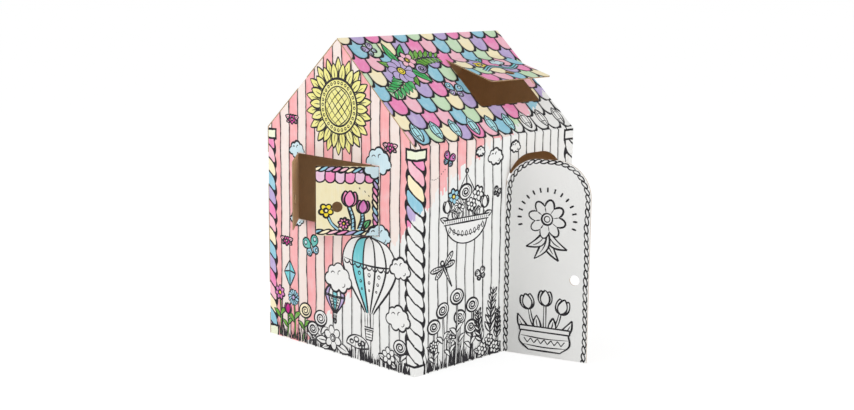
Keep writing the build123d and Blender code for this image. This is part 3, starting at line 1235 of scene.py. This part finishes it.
def sunflower(picture, centre, reach, colour):
    """A large sunflower: two rings of pointed petals round a disc of crossed lines."""
    disc = reach * 0.56
    for length, count, offset in ((1.0, 18, 0.5), (0.88, 18, 0.0)):
        level = picture.level
        for step in range(count):
            way = rect(1, tau * (step + offset) / count)
            picture.start(level + step % 2)
            root, tip = centre + disc * 0.8 * way, centre + reach * length * way
            picture.shape(petal(root, tip, reach * 0.19, 0.8), colour)
            picture.line([centre + reach * length * share * way for share in (0.62, 0.72, 0.84)])
        picture.start(level + 3)
    picture.shape([ring(centre, disc, steps=64)], colour, picture.pen * 1.3)
    seeds = disc * 0.72
    for turn in (pi / 4, -pi / 4):
        for share in (-0.75, -0.45, -0.15, 0.15, 0.45, 0.75):
            half = (1 - share * share) ** 0.5
            marks = (complex(share, -half), complex(share * 1.18, 0.0), complex(share, half))
            picture.line(sweep(*(centre + seeds * 0.97 * mark * rect(1, turn) for mark in marks)))
    picture.line(ring(centre, seeds, steps=48), picture.pen, closed=True)
    dots = 28
    for step in range(dots):
        picture.line(ring(centre + rect(disc * 0.86, tau * step / dots), disc * 0.05, steps=8), closed=True)


def balloon(picture, foot, height, gores):
    """A hot-air balloon of five gores over a wicker basket."""
    envelope, mouth_half = height * 0.74, 0.08
    belt_height, belt_sag = 0.62, 0.18
    mouth = foot + 1j * (height - envelope)
    half_widths = ((mouth_half, 0.0), (0.14, 0.08), (0.42, 0.42), (0.5, 0.68), (0.34, 0.92), (0.0, 1.0))
    seams = []
    for split in (-1.0, -0.62, -0.22, 0.22, 0.62, 1.0):
        seams.append(sweep(*(mouth + envelope * complex(wide * split, up) for wide, up in half_widths)))
    for left, right, colour in zip(seams, seams[1:], gores):
        picture.shape([left, right[::-1]], colour, picture.pen * 1.25)
    picture.start(picture.level + 1)
    belt = []
    for across in (-0.48, -0.24, 0.0, 0.24, 0.48):
        belt.append(mouth + envelope * complex(across, belt_height + belt_sag * across * across))
    picture.line(sweep(*belt), picture.pen)
    for step in range(9):
        across = 0.105 * (step - 4)
        hang = mouth + envelope * complex(across, 0.612 + belt_sag * across * across)
        picture.line(arc(hang, envelope * 0.05, pi, tau, steps=8), picture.pen)
    for split in (-0.42, 0.0, 0.42):
        for up, size in ((0.5, 0.022), (0.4, 0.017), (0.3, 0.012)):
            wide = 0.5 * (0.3 + 0.7 * up / belt_height)
            dot = mouth + envelope * complex(split * wide, up)
            picture.line(ring(dot, envelope * size, steps=12), closed=True)
    top, low, deep = height * 0.055, height * 0.042, height * 0.11
    rim = foot + 1j * deep
    for hand in (1, 0.35, -0.35, -1):
        tied, hung = rim + hand * top, mouth + hand * envelope * mouth_half
        picture.line([tied, (tied + hung) / 2, hung])
    picture.shape(corners(foot - low, foot + low, rim + top, rim - top))
    for share in (0.25, 0.5, 0.75):
        wide = low + (top - low) * share
        picture.line([foot + complex(across, share * deep) for across in (-wide, 0, wide)])
    picture.shape(band([rim - top * 1.15, rim, rim + top * 1.15], height * 0.022))


def grass(picture, start, end, height):
    """Blades of grass along the foot of a panel, taller in some places than in others."""
    foot_height, wave = 4.0, 27.0
    for _ in range(int((end - start) / 100 * picture.grass_blades)):
        across = picture.chance.uniform(start, end)
        tall = height * picture.chance.uniform(0.4, 1.2) * (0.7 + 0.3 * sin(across / wave))
        foot = complex(across, foot_height)
        lean = tall * picture.chance.uniform(-0.25, 0.25)
        blade = sweep(foot, foot + complex(lean * 0.3, tall * 0.55), foot + complex(lean, tall), steps=3)
        picture.line(blade, picture.chance.uniform(2.5, 6.0), blade=True)


def bloom(picture, kind, centre, radius, colour, heart, petals=7, sink=0.6, turn=0.3):
    """A bloom of one of four kinds. A tulip's foot sinks below the centre."""
    if kind == "spiral":
        spiral_bloom(picture, centre, radius, colour, turn)
    elif kind == "tulip":
        tulip(picture, centre - 1j * sink * radius, radius * 1.7, colour)
    elif kind == "aster":
        daisy(picture, centre, radius, petals + 6, colour, heart, thin=True)
    else:
        daisy(picture, centre, radius, petals, colour, heart)


def flower_bed(picture, blooms):
    """Blooms on stems. A row is a kind, foot, centre and radius, and three colours if it is coloured in."""
    for kind, foot, centre, radius, *colours in blooms:
        colour, heart, green = colours or (None, None, None)
        stem(picture, foot, (foot + centre) / 2 + radius * 0.15, centre, colour=green)
        middle = (foot + centre) / 2
        for hand, drop in ((1, 8), (-1, 20)):
            tip = middle + radius * complex(1.3 * hand, 1.15) - 1j * drop
            picture.shape(petal(middle - 1j * drop, tip, radius * 0.62, bend=0.12 * hand), green, 3.8)
        turn = picture.chance.uniform(-0.3, 0.4) if kind == "spiral" else 0.0
        bloom(picture, kind, centre, radius, colour, heart, turn=turn)
        picture.start()


def kite(picture, centre, size):
    """A kite of four colours, with bows on its tail."""
    marks = (centre + 1.1j * size, centre + 0.75 * size, centre - 1.3j * size, centre - 0.75 * size)
    for (start, end), colour in zip(with_next(marks), (CYAN, BLUE, CYAN, SKY)):
        picture.shape(corners(start, end, centre + 0.15j * size), colour)
    tail = sweep(*(marks[2] + size * mark for mark in (0, 0.5 - 0.35j, 0.1 - 0.8j)), steps=5)
    picture.line(tail)
    for knot in (tail[5], tail[-1]):
        for hand in (1, -1):
            picture.shape(petal(knot, knot + hand * 0.32 * size, size * 0.22, 0.6, 1.6), BLUE)


def bowl(picture, foot, half):
    """A hanging bowl, with its blooms over the rim and three ropes up to a ring."""
    rim = foot + 0.78j * half
    top = foot + 2.35j * half
    for hand in (-1, 0, 1):
        picture.line([rim + hand * half, (rim + hand * half + top) / 2, top], picture.pen)
    picture.line(ring(top + 8j, 8.0, steps=16), picture.pen, closed=True)
    blooms = (
        ("daisy", -0.62 + 1.62j, 0.27, BLUE, SUN),
        ("spiral", -0.05 + 1.72j, 0.25),
        ("daisy", 0.56 + 1.6j, 0.27),
        ("tulip", -0.92 + 1.22j, 0.25),
        ("aster", -0.34 + 1.28j, 0.26),
        ("daisy", 0.24 + 1.26j, 0.24),
        ("tulip", 0.9 + 1.2j, 0.25),
    )
    for root, tip in ((-0.8, -1.25 + 0.95j), (0.8, 1.28 + 0.92j), (-0.5, -0.66 + 1.2j), (0.5, 0.6 + 1.18j)):
        leaf(picture, rim + root * half, foot + tip * half, half * 0.2)
    over_leaves, over_blooms = 4, 20
    for kind, place, size, *colours in blooms:
        colour, heart = colours or (None, None)
        picture.start(over_leaves)
        centre = foot + place * half
        stem(picture, rim + place.real * half * 0.7, (rim + centre) / 2, centre, width=6.0)
        bloom(picture, kind, centre, size * half, colour, heart, petals=6, sink=0.5)
    picture.start(over_blooms)
    picture.shape([arc(rim, half * 0.8, pi, tau, 1.25, 22), [rim + half, rim, rim - half]])
    for step in range(9):
        spot = rim + half * complex(0.2 * (step - 4), -0.27 - 0.012 * (16 - (step - 4) ** 2))
        picture.shape(petal(spot - 0.1j * half, spot + 0.1j * half, half * 0.1), None, picture.fine_pen)
    picture.line(arc(rim, half * 0.52, pi + 0.22, tau - 0.22, 1.6, 16), picture.fine_pen)
    picture.shape(band([rim - 1.08 * half, rim, rim + 1.08 * half], half * 0.16))
    for step in range(21):
        notch = rim + half * 0.1 * (step - 10)
        picture.line([notch - 0.06j * half, notch, notch + 0.06j * half])


def gable_picture(picture):
    """Front gable: sunflower, balloons among clouds, kite, butterfly and a flower bed."""
    picture.add(sunflower, 425 + 965j, 186.0, YELLOW)
    for centre in (152 + 893j, 112 + 402j, 708 + 838j):
        picture.add(blossom, centre, 40.0, MAGENTA, LIGHT_PINK)

    # Clouds at the corners of the window, each in two parts that stop at its edges
    margin = 3
    left, right = GABLE_WIDTH - WINDOW_END - margin, GABLE_WIDTH - WINDOW_START + margin
    low, high = WINDOW_MIDDLE - WINDOW_HEIGHT / 2 - margin, WINDOW_MIDDLE + WINDOW_HEIGHT / 2 + margin
    above, below = (complex(-FAR, high), complex(FAR, FAR)), (complex(-FAR, 0), complex(FAR, low))
    for centre, size, limits in (
        (complex(left - 2, high + 8), 36, (above, (complex(-FAR, 0), complex(left, high)))),
        (complex(right - 8, high + 14), 54, (above, (complex(right, 0), complex(FAR, high)))),
        (complex(left - 4, low + 2), 32, (below, (complex(-FAR, low), complex(left, FAR)))),
        (complex(right + 6, low + 4), 42, (below, (complex(right, low), complex(FAR, FAR)))),
    ):
        for corner_low, corner_high in limits:
            picture.add(cloud, centre, size, SKY, low=corner_low, high=corner_high)

    picture.add(butterfly, 266 + 398j, 58.0, 0.35, TEAL, BLUE, SKY)
    picture.add(kite, 130 + 275j, 46.0)
    for centre, size, level in ((420 + 300j, 62, 8), (762 + 395j, 44, 9), (752 + 205j, 52, 10)):
        picture.add(cloud, centre, size, level=level)
    picture.add(balloon, 596 + 92j, 400.0, (None, CYAN, None, None, None))
    picture.add(balloon, 402 + 120j, 150.0, (LILAC, None, CYAN, None, LILAC))

    picture.add(grass, 62, 820, 76, level=8)
    blooms = (
        ("daisy", 70 + 8j, 66 + 182j, 31, PLUM, SUN, LEAF),
        ("aster", 158 + 8j, 152 + 176j, 34, BLUE, LILAC, LEAF),
        ("tulip", 112 + 8j, 116 + 118j, 27, MAGENTA, None, LEAF),
        ("spiral", 208 + 8j, 224 + 136j, 30, CREAM, None, LEAF),
        ("spiral", 322 + 8j, 316 + 122j, 31),
        ("spiral", 262 + 8j, 270 + 72j, 27),
        ("spiral", 770 + 8j, 764 + 98j, 28),
    )
    picture.add(flower_bed, blooms)
    for root, tip, width in (
        (366 + 40j, 286 + 36j, 32.0),
        (378 + 24j, 322 + 8j, 22.0),
        (404 + 36j, 486 + 14j, 36.0),
        (694 + 34j, 648 + 50j, 24.0),
        (712 + 30j, 744 + 14j, 22.0),
    ):
        picture.add(leaf, root, tip, width, level=10)
    for centre, radius in ((388 + 58j, 50), (704 + 52j, 36)):
        picture.add(daisy, centre, radius, 6, level=13)
    picture.add(toadstool, 532 + 14j, 84.0)


def wall_picture(picture):
    """Front wall: hanging bowl of flowers, butterflies, dragonfly, cloud, flower bed and ferns."""
    picture.add(bowl, 268 + 470j, 112.0)
    picture.add(butterfly, 170 + 790j, 38.0, -0.4, PLUM, BLUE, LILAC)
    for step in range(9):
        trail = 72 + 731j + complex(9.5 * step, 26 * sin(step / 8 * pi / 2) ** 2 - 14 * sin(step / 8 * pi))
        picture.line([trail, trail + 2.6, trail + 5.2])
    for centre, size, turn in ((352 + 332j, 34, 0.3), (438 + 640j, 26, -0.5)):
        picture.add(butterfly, centre, size, turn)
    picture.add(dragonfly, 150 + 392j, 76.0, 0.5)
    for centre, size in ((425 + 778j, 34), (538 + 806j, 24), (340 + 806j, 20)):
        picture.add(cloud, centre, size)
    for start, end, height in ((60, 474, 80), (180, 280, 112)):
        picture.add(grass, start, end, height, level=1)
    for level, foot, tip, size, bend in (
        (1, 396 + 8j, 340 + 200j, 54, 0.08),
        (1, 434 + 8j, 452 + 186j, 42, -0.05),
        (8, 416 + 6j, 428 + 272j, 64, 0.04),
    ):
        picture.add(fern, foot, tip, size, bend, spread=0.58, slim=0.28, line=5.0, level=level)
    blooms = (
        ("spiral", 220 + 8j, 222 + 268j, 29),
        ("spiral", 152 + 8j, 146 + 228j, 27),
        ("spiral", 300 + 8j, 308 + 222j, 27),
        ("spiral", 232 + 8j, 240 + 186j, 26),
        ("spiral", 96 + 8j, 100 + 172j, 27),
        ("spiral", 298 + 8j, 302 + 138j, 26),
        ("aster", 184 + 8j, 190 + 118j, 25),
        ("daisy", 104 + 8j, 98 + 98j, 22),
    )
    picture.add(flower_bed, blooms, level=8)
    leaves = ((360 + 26j, 318 + 40j), (438 + 24j, 472 + 46j), (372 + 20j, 338 + 10j), (430 + 18j, 466 + 12j))
    for root, tip in leaves:
        picture.add(leaf, root, tip, 20.0, level=15)
    for centre, radius in ((366 + 36j, 28), (404 + 64j, 25), (434 + 32j, 27)):
        picture.add(daisy, centre, radius, 6, level=18)


def door_picture(picture):
    """Door: a large flower in a ring of dashes, over a round pot of tulips."""
    centre = complex(DOOR_WIDTH / 2, 545)
    for hand in (1, -1):
        for across, up, bend in ((50, -158, 0.14), (84, -112, 0.2)):
            tip = centre + complex(hand * across, up)
            leaf(picture, centre - 30j, tip, 34.0, bend=-hand * bend)
    picture.add(daisy, centre, 76.0, 8, level=8)
    for step in range(15):
        way = rect(1, pi * (step - 1) / 12)
        picture.line([centre + reach * way for reach in (104, 113, 122)], 5.6, ends=0.9)
    foot = complex(DOOR_WIDTH / 2, 26)
    rim_height, rim_half, foot_half = 84, 104, 66
    picture.start()
    for across, up, turn in ((-66, 166, 1.85), (64, 160, 1.3), (0, 186, pi / 2)):
        head = foot + complex(across, up)
        stem(picture, foot + complex(across * 0.4, 70), foot + complex(across * 0.8, 115), head, width=11.0)
        tulip(picture, head - 6j, 62.0, turn=turn)
    for across, up, bend in ((-112, 138, 0.16), (112, 134, -0.16), (-34, 140, 0.1), (34, 136, -0.1)):
        leaf(picture, foot + complex(across * 0.45, 70), foot + complex(across, up), 30.0, bend=bend)
    over_tulips, belly_height = 28, 34
    picture.start(over_tulips)
    side = (-foot_half, complex(-rim_half, belly_height), complex(-rim_half * 0.92, rim_height))
    left = sweep(*(foot + mark for mark in side))
    right = [complex(2 * foot.real - mark.real, mark.imag) for mark in left]
    across_top = [left[-1], foot + 1j * rim_height, right[-1]]
    picture.shape([left, across_top, right[::-1], [right[0], foot, left[0]]])
    edge, sag = rim_half * 0.94, 5
    for height in (20, 54):
        hoop = (complex(-edge, height), 1j * (height - sag), complex(edge, height))
        picture.line(sweep(*(foot + mark for mark in hoop)))
    zigzag = [foot + complex(14 * step, 28 if step % 2 else 46) for step in range(-6, 7)]
    for mark, after in zip(zigzag, zigzag[1:]):
        picture.line([mark, (mark + after) / 2, after], ends=0.9)
    rim = foot + 1j * rim_height
    lip = (-rim_half - 9j, rim_half - 9j, rim_half + 10j, -rim_half + 10j)
    picture.shape(corners(*(rim + mark for mark in lip)))


def shutter_picture(picture, hand, coloured):
    """Shutter: tulips on striped stems, a daisy and a small bloom, set out from its crease."""

    def at(out, up):
        return complex(hand * out, up)

    def tint(colour):
        return colour if coloured else None

    low, far_out = -107, 200
    for out, up, foot_out, size, colour in ((112, -18, 96, 62, HOT_PINK), (62, -42, 74, 52, PLUM)):
        path = sweep(at(foot_out, low), at((foot_out + out) / 2 - 6, (low + up) / 2), at(out, up))
        picture.shape(band(path, 14.0, 0.85), tint(BLUE))
        for point, after in zip(path[1::2], path[2::2]):
            picture.line([point - 6, (point + after) / 2, after + 6], 3.0)
        tulip(picture, at(out, up - 4), size, tint(colour), pi / 2 + 0.1 * hand)
    leaf(picture, at(56, low), at(32, -70), 22.0, tint(JADE), 0.1)
    picture.add(stem, at(152, low), at(176, -84), at(194, -46), colour=tint(BLUE), width=11.0)
    daisy(picture, at(196, -36), 27.0, 5, tint(SUN), tint(CREAM), turn=pi / 2)
    picture.add(daisy, at(130, -84), 22.0, 8, tint(HOT_PINK), tint(SUN))
    for out, up in ((70, 44), (50, 32), (36, 16)):
        picture.line([at(out, up), at(out + 2, up + 4), at(out + 4, up + 8)], 3.0)
    margin, over_ropes = 2, 20
    high = WINDOW_HEIGHT / 2 - margin
    near_out, beyond = (margin, far_out) if hand > 0 else (far_out, margin)
    limits = {"low": at(near_out, -high), "high": at(beyond, high)}
    for up, size in ((high - 8, 42), (4 - high, 36)):
        picture.add(cloud, at(6, up), size, tint(SKY), level=over_ropes, **limits)


def roof_picture(picture):
    """Front slope: a posy of leaves and daisies, two butterflies and a row of pointed drops."""
    leaves = (
        (fern, 230 + 380j, 70 + 262j, 74.8, 0.08, JADE, 7),
        (fern, 240 + 400j, 446 + 428j, 68.0, 0.08, LEAF, 7),
        (leaf, 225 + 395j, 196 + 522j, 34.0, JADE, 0.08),
        (leaf, 240 + 390j, 288 + 512j, 38.0, JADE, 0.08),
        (leaf, 230 + 380j, 318 + 304j, 40.0, JADE, 0.08),
        (leaf, 225 + 380j, 232 + 286j, 34.0, LEAF, 0.08),
        (leaf, 230 + 390j, 110 + 430j, 34.0, LEAF, 0.08),
    )
    for draw, *details in leaves:
        picture.add(draw, *details)
    picture.add(daisy, 196 + 372j, 64.0, 9, LILAC, SUN, thin=True, level=14)
    picture.add(daisy, 264 + 424j, 42.0, 6, LIGHT_PINK, SUN, level=30)
    picture.add(spiral_bloom, 306 + 376j, 24.0, LILAC, level=30)
    picture.add(butterfly, 398 + 250j, 52.0, -0.3, BLUE, LILAC, SKY)
    picture.add(butterfly, 118 + 488j, 42.0, 0.5, LILAC, SKY, LILAC)

    # Drops along the eave, the last ones not coloured in
    drops, coloured_drops = 9, 6
    pitch, width, height = 99.5, 46.0, 92j
    for step in range(drops):
        foot = complex(56 + pitch * step, 24)
        picture.start()
        colour = ICE if step < coloured_drops else None
        picture.shape(petal(foot, foot + height, width, 0.75), colour, 5.5)
        for share in (-0.44, 0.44):
            picture.line(petal(foot, foot + height, width * share, 0.8)[0], 3.6)
        for up in (26, 64):
            picture.line([foot + mark for mark in (complex(-19, up), 1j * (up + 5), complex(19, up))], 3.2)


def skylight_picture(picture):
    """Skylight flap: a cloud, a small bloom and a ribbon of two colours."""
    ribbon, width = (548 + 262j, 620 + 300j, 700 + 268j, 768 + 300j), 12.0
    for shift, colour in ((0j, BLUE), (13j, CYAN)):
        picture.shape(band(sweep(*(mark + shift for mark in ribbon)), width), colour)
    cloud(picture, 690 + 344j, 30, SKY)
    picture.add(daisy, 580 + 330j, 30.0, 5, SUN, CREAM, turn=pi / 2)
    picture.add(leaf, 612 + 352j, 650 + 392j, 24.0, TEAL, 0.2)


def plain_picture(picture, start, end):
    """Far sides: a few flowers in the grass, not coloured in."""
    grass(picture, start, end, 62)
    kinds, pitch, inset = ("spiral", "daisy", "tulip", "spiral", "aster"), 74, 40
    blooms = []
    for step in range(int((end - start) / pitch)):
        foot = complex(start + inset + pitch * step, 8)
        head = foot + complex(picture.chance.uniform(-8, 8), picture.chance.uniform(70, 190))
        blooms.append((kinds[step % len(kinds)], foot, head, picture.chance.uniform(23, 30)))
    picture.add(flower_bed, blooms, level=2)


# From a panel's own millimetres to its sheet's frame, with the way out of the board as the third axis
WALL = Matrix(((1, 0, 0, 0), (0, 0, -1, 0), (0, 1, 0, 0), (0, 0, 0, 1)))
GABLE = Matrix(((0, 0, -1, 0), (-1, 0, 0, GABLE_WIDTH), (0, 1, 0, 0), (0, 0, 0, 1)))
ROOF = Matrix(
    (
        (1, 0, 0, 0),
        (0, cos(PITCH), -sin(PITCH), 0),
        (0, sin(PITCH), cos(PITCH), EAVE_HEIGHT),
        (0, 0, 0, 1),
    )
)


def marker_material():
    """Marker pen on the pictures, in each field's own colour. Fields that aren't coloured stay bare."""
    material, tree = new_material("picture colours")
    tint = tree.nodes.new("ShaderNodeAttribute")
    tint.attribute_name = "print"
    place = object_place(tree)
    colour = Wire(tree, tint.outputs["Color"])
    marked = use_group(tree, shared_groups()["marker"], Place=place, Colour=colour)["Colour"]
    colour = mixed(tree, Wire(tree, tint.outputs["Alpha"]), colour, marked)
    show(tree, matt_shader(tree, colour, noise(tree, place, 0.9, 3.0) * 0.2 + PAPER_ROUGHNESS))
    return material


def ink_material(ink):
    """Printed black, a little greyer where it went on thinly."""
    material, tree = new_material("picture ink")
    thin = noise(tree, object_place(tree), 0.05, 3.0)
    show(tree, matt_shader(tree, mixed(tree, thin, toned(ink, 0.5), toned(ink, 2.0)), thin * 0.2 + 0.5))
    return material


def picture_material(kind):
    """The pictures' two finishes, made once."""
    if kind not in shared_finishes:
        board = bpy.context.scene.board_finish
        shared_finishes[kind] = ink_material(board.ink) if kind == "ink" else marker_material()
    return shared_finishes[kind]


def new_object(name, data):
    """An object of the scene with its mesh, curve, camera or lamp, as the only one selected."""
    made = bpy.data.objects.new(name, data)
    bpy.context.scene.collection.objects.link(made)
    bpy.ops.object.select_all(action="DESELECT")
    made.select_set(True)
    bpy.context.view_layer.objects.active = made
    return made


def finish_piece(piece, place, material, body):
    """Puts a piece's mesh in its place and makes it move with its body."""
    piece.data.transform(place)
    piece.data.materials.append(material)
    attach(piece, body)


def lay_fields(picture, name, pens, paper):
    """The fields of colour as thin closed plates, each with its colour on its faces."""
    plate, least_side = 0.01, 0.05
    points, faces, colours = [], [], []
    for outline, colour, level in picture.fields:
        outline = [mark for mark, after in with_next(outline) if abs(mark - after) > least_side]
        twice_area = sum((mark.conjugate() * after).imag for mark, after in with_next(outline))
        if twice_area < 0:
            outline.reverse()
        faces.append(list(range(len(points), len(points) + len(outline))))
        points += [(mark.real, mark.imag, pens.lift + pens.layer * level) for mark in outline]
        colours.append((*colour, 1.0) if colour else (*paper, 0.0))
    mesh = bpy.data.meshes.new(name)
    mesh.from_pydata(points, [], faces)
    tints = mesh.attributes.new("print", "FLOAT_COLOR", "FACE")
    for tint, colour in zip(tints.data, colours):
        tint.color = colour
    piece = new_object(name, mesh)
    solidify = piece.modifiers.new("plate", "SOLIDIFY")
    solidify.thickness = plate
    bpy.ops.object.modifier_apply(modifier="plate")
    return piece


def lay_strokes(picture, name, pens):
    """The pen strokes as curves with the pen's weight as their radius, pressed flat."""
    flat = 0.004
    curve = bpy.data.curves.new(name, "CURVE")
    curve.dimensions = "3D"
    curve.bevel_depth = 1.0
    curve.bevel_resolution = 0
    curve.use_fill_caps = True
    curve.twist_mode = "Z_UP"
    for points, halves, closed, level in picture.strokes:
        spline = curve.splines.new("POLY")
        spline.points.add(len(points) - 1)
        spline.use_cyclic_u = closed
        spline.use_smooth = False
        height = (pens.lift + pens.layer * level) / flat
        for point, mark, half in zip(spline.points, points, halves):
            point.co = (mark.real, mark.imag, height, 1.0)
            point.radius = half
    piece = new_object(name, curve)
    bpy.ops.object.convert(target="MESH")
    piece.data.transform(Matrix.Diagonal((1.0, 1.0, flat, 1.0)))
    return piece


def lay_picture(picture, name, place, body):
    """Both layers of a picture, in place on their panel."""
    scene = bpy.context.scene
    pens, paper = scene.picture_pen, scene.board_finish.paper
    in_metres = place @ Matrix.Diagonal((MM, MM, MM, 1.0))
    fields = lay_fields(picture, name + "_colours", pens, paper)
    finish_piece(fields, in_metres, picture_material("marker"), body)
    strokes = lay_strokes(picture, name + "_lines", pens)
    finish_piece(strokes, in_metres, picture_material("ink"), body)


def on_sheet(corner, panel):
    """A panel's place in the row frame, in metres, from its place in its sheet's frame."""
    place = panel.copy()
    place.translation = place.translation * MM
    return corner @ place


class PLAYHOUSE_OT_wall_pictures(bpy.types.Operator):
    """Draws the pictures of the two long walls, both gables and the front slope"""

    bl_idname = "playhouse.wall_pictures"
    bl_label = "Draw on the walls"

    def execute(self, context):
        pens, weight = context.scene.picture_pen, 1.12
        for name, corner, panel, draw in (
            ("gable_picture", FRONT_CORNER, GABLE, gable_picture),
            ("wall_picture", FRONT_CORNER, WALL, wall_picture),
            ("roof_picture", FRONT_CORNER, ROOF, roof_picture),
            ("back_gable_picture", BACK_CORNER, GABLE, partial(plain_picture, start=60, end=780)),
            ("back_wall_picture", BACK_CORNER, WALL, partial(plain_picture, start=60, end=830)),
        ):
            picture = Picture(len(name), pens, weight)
            draw(picture)
            lay_picture(picture, name, on_sheet(corner, panel), "house")
        return {"FINISHED"}


class PLAYHOUSE_OT_flap_pictures(bpy.types.Operator):
    """Draws the pictures of the door, the shutters and the skylight's flap"""

    bl_idname = "playhouse.flap_pictures"
    bl_label = "Draw on the flaps"

    def execute(self, context):
        pens, weight = context.scene.picture_pen, 1.25
        flaps = [
            ("door", FRONT_CORNER, WALL, (DOOR_OFFSET, 0), door_picture),
            ("skylight", FRONT_CORNER, ROOF, (0, 0), skylight_picture),
        ]
        for name, near, coloured in SHUTTERS:
            corner = FRONT_CORNER if coloured else BACK_CORNER
            crease = (GABLE_WIDTH - (WINDOW_START if near else WINDOW_END), WINDOW_MIDDLE)
            draw = partial(shutter_picture, hand=-1 if near else 1, coloured=coloured)
            flaps.append((name, corner, GABLE, crease, draw))
        for name, corner, panel, origin, draw in flaps:
            picture = Picture(len(name), pens, weight)
            draw(picture)
            closed = on_sheet(corner, panel @ Matrix.Translation((*origin, 0)))
            place = closing_turn(name + "_hinge").inverted() @ closed
            lay_picture(picture, name + "_picture", place, name + "_leaf")
        return {"FINISHED"}


class PLAYHOUSE_OT_stage(bpy.types.Operator):
    """Sets the camera, the floor, the lamps and the even light"""

    bl_idname = "playhouse.stage"
    bl_label = "Set the stage"

    def execute(self, context):
        scene = context.scene
        stage = scene.playhouse_stage
        scene.view_settings.view_transform = "Standard"

        camera = new_object("camera", bpy.data.cameras.new("camera"))
        camera.data.lens = stage.lens
        camera.data.clip_end = 200.0
        camera.matrix_world = (
            Matrix.Translation(stage.eye)
            @ Matrix.Rotation(-stage.heading, 4, "Z")
            @ Matrix.Rotation(pi / 2 - stage.dip, 4, "X")
            @ Matrix.Rotation(stage.roll, 4, "Z")
        )
        scene.camera = camera

        bpy.ops.mesh.primitive_plane_add(size=stage.floor_size, location=(0, 0, 0))
        floor = context.active_object
        floor.name = "floor"
        floor.data.materials.append(floor_material())

        for name, place, size, power in (
            ("front lamp", (0.5, -4.6, 1.45), 2.7, stage.key_power),
            ("side lamp", (-4.4, 2.0, 2.4), 3.2, stage.fill_power),
        ):
            add_lamp(name, place, size, power)
        scene.world = studio_world(stage.sky)
        return {"FINISHED"}


def plainly_seen(tree):
    """1 where the camera looks, straight or by a glossy surface, and 0 for light between pieces."""
    path = tree.nodes.new("ShaderNodeLightPath")
    return Wire(tree, path.outputs["Is Camera Ray"]).most(Wire(tree, path.outputs["Is Glossy Ray"]))


def floor_material():
    """Floor that the camera sees as white as the backdrop, with a faint shadow kept."""
    shadow_share, whiteness, grey = 0.22, 1.115, 0.88
    material, tree = new_material("studio floor")
    matte = tree.nodes.new("ShaderNodeBsdfDiffuse")
    matte.inputs["Color"].default_value = (grey, grey, grey, 1.0)
    glow = tree.nodes.new("ShaderNodeEmission")
    glow.inputs["Strength"].default_value = whiteness
    blend = tree.nodes.new("ShaderNodeMixShader")
    plug(tree, blend.inputs[0], plainly_seen(tree) * (1.0 - shadow_share))
    tree.links.new(matte.outputs[0], blend.inputs[1])
    tree.links.new(glow.outputs[0], blend.inputs[2])
    show(tree, blend)
    return material


def add_lamp(name, place, size, power):
    """A square soft lamp that faces the middle of the house."""
    data = bpy.data.lights.new(name, "AREA")
    data.size = size
    data.energy = power
    lamp = new_object(name, data)
    lamp.location = place
    middle = (cad_low + cad_high) / 2
    lamp.rotation_euler = (middle - Vector(place)).to_track_quat("-Z", "Y").to_euler()


def studio_world(strength):
    """Even light from all round, behind a backdrop that the camera sees as white."""
    world = bpy.data.worlds.new("studio")
    world.use_nodes = True
    tree = world.node_tree
    tree.nodes.clear()
    background = tree.nodes.new("ShaderNodeBackground")
    background.inputs["Color"].default_value = (1.0, 1.0, 1.0, 1.0)
    plug(tree, background.inputs["Strength"], between(tree, plainly_seen(tree), strength, 1.0))
    show(tree, background, "World")
    return world


class PLAYHOUSE_PT_panel(bpy.types.Panel):
    """Lists the playhouse's settings and steps"""

    bl_label = "Playhouse"
    bl_idname = "PLAYHOUSE_PT_panel"
    bl_space_type = "VIEW_3D"
    bl_region_type = "UI"
    bl_category = "Playhouse"

    def draw(self, context):
        layout = self.layout
        for name in SETTINGS:
            settings = getattr(context.scene, name)
            box = layout.box()
            box.label(text=name.replace("_", " "))
            for key in settings.__annotations__:
                box.prop(settings, key)
        for operator in OPERATORS:
            layout.operator(operator.bl_idname)


SETTINGS = {
    "board_finish": BoardSettings,
    "wall_print": WallSettings,
    "roof_print": RoofSettings,
    "flap_print": FlapSettings,
    "picture_pen": PictureSettings,
    "playhouse_stage": StageSettings,
}
OPERATORS = (
    PLAYHOUSE_OT_sheets,
    PLAYHOUSE_OT_flaps,
    PLAYHOUSE_OT_wall_pictures,
    PLAYHOUSE_OT_flap_pictures,
    PLAYHOUSE_OT_stage,
)


def register():
    """Adds the settings, the operators and the panel."""
    for settings in SETTINGS.values():
        bpy.utils.register_class(settings)
    for operator in OPERATORS:
        bpy.utils.register_class(operator)
    bpy.utils.register_class(PLAYHOUSE_PT_panel)
    for name, settings in SETTINGS.items():
        setattr(bpy.types.Scene, name, PointerProperty(type=settings))


def unregister():
    """Takes them away again."""
    for name in SETTINGS:
        delattr(bpy.types.Scene, name)
    bpy.utils.unregister_class(PLAYHOUSE_PT_panel)
    for operator in reversed(OPERATORS):
        bpy.utils.unregister_class(operator)
    for settings in reversed(SETTINGS.values()):
        bpy.utils.unregister_class(settings)


def main():
    register()
    bpy.ops.playhouse.sheets()
    bpy.ops.playhouse.flaps()
    bpy.ops.playhouse.wall_pictures()
    bpy.ops.playhouse.flap_pictures()
    bpy.ops.playhouse.stage()


if __name__ == "__main__":
    main()
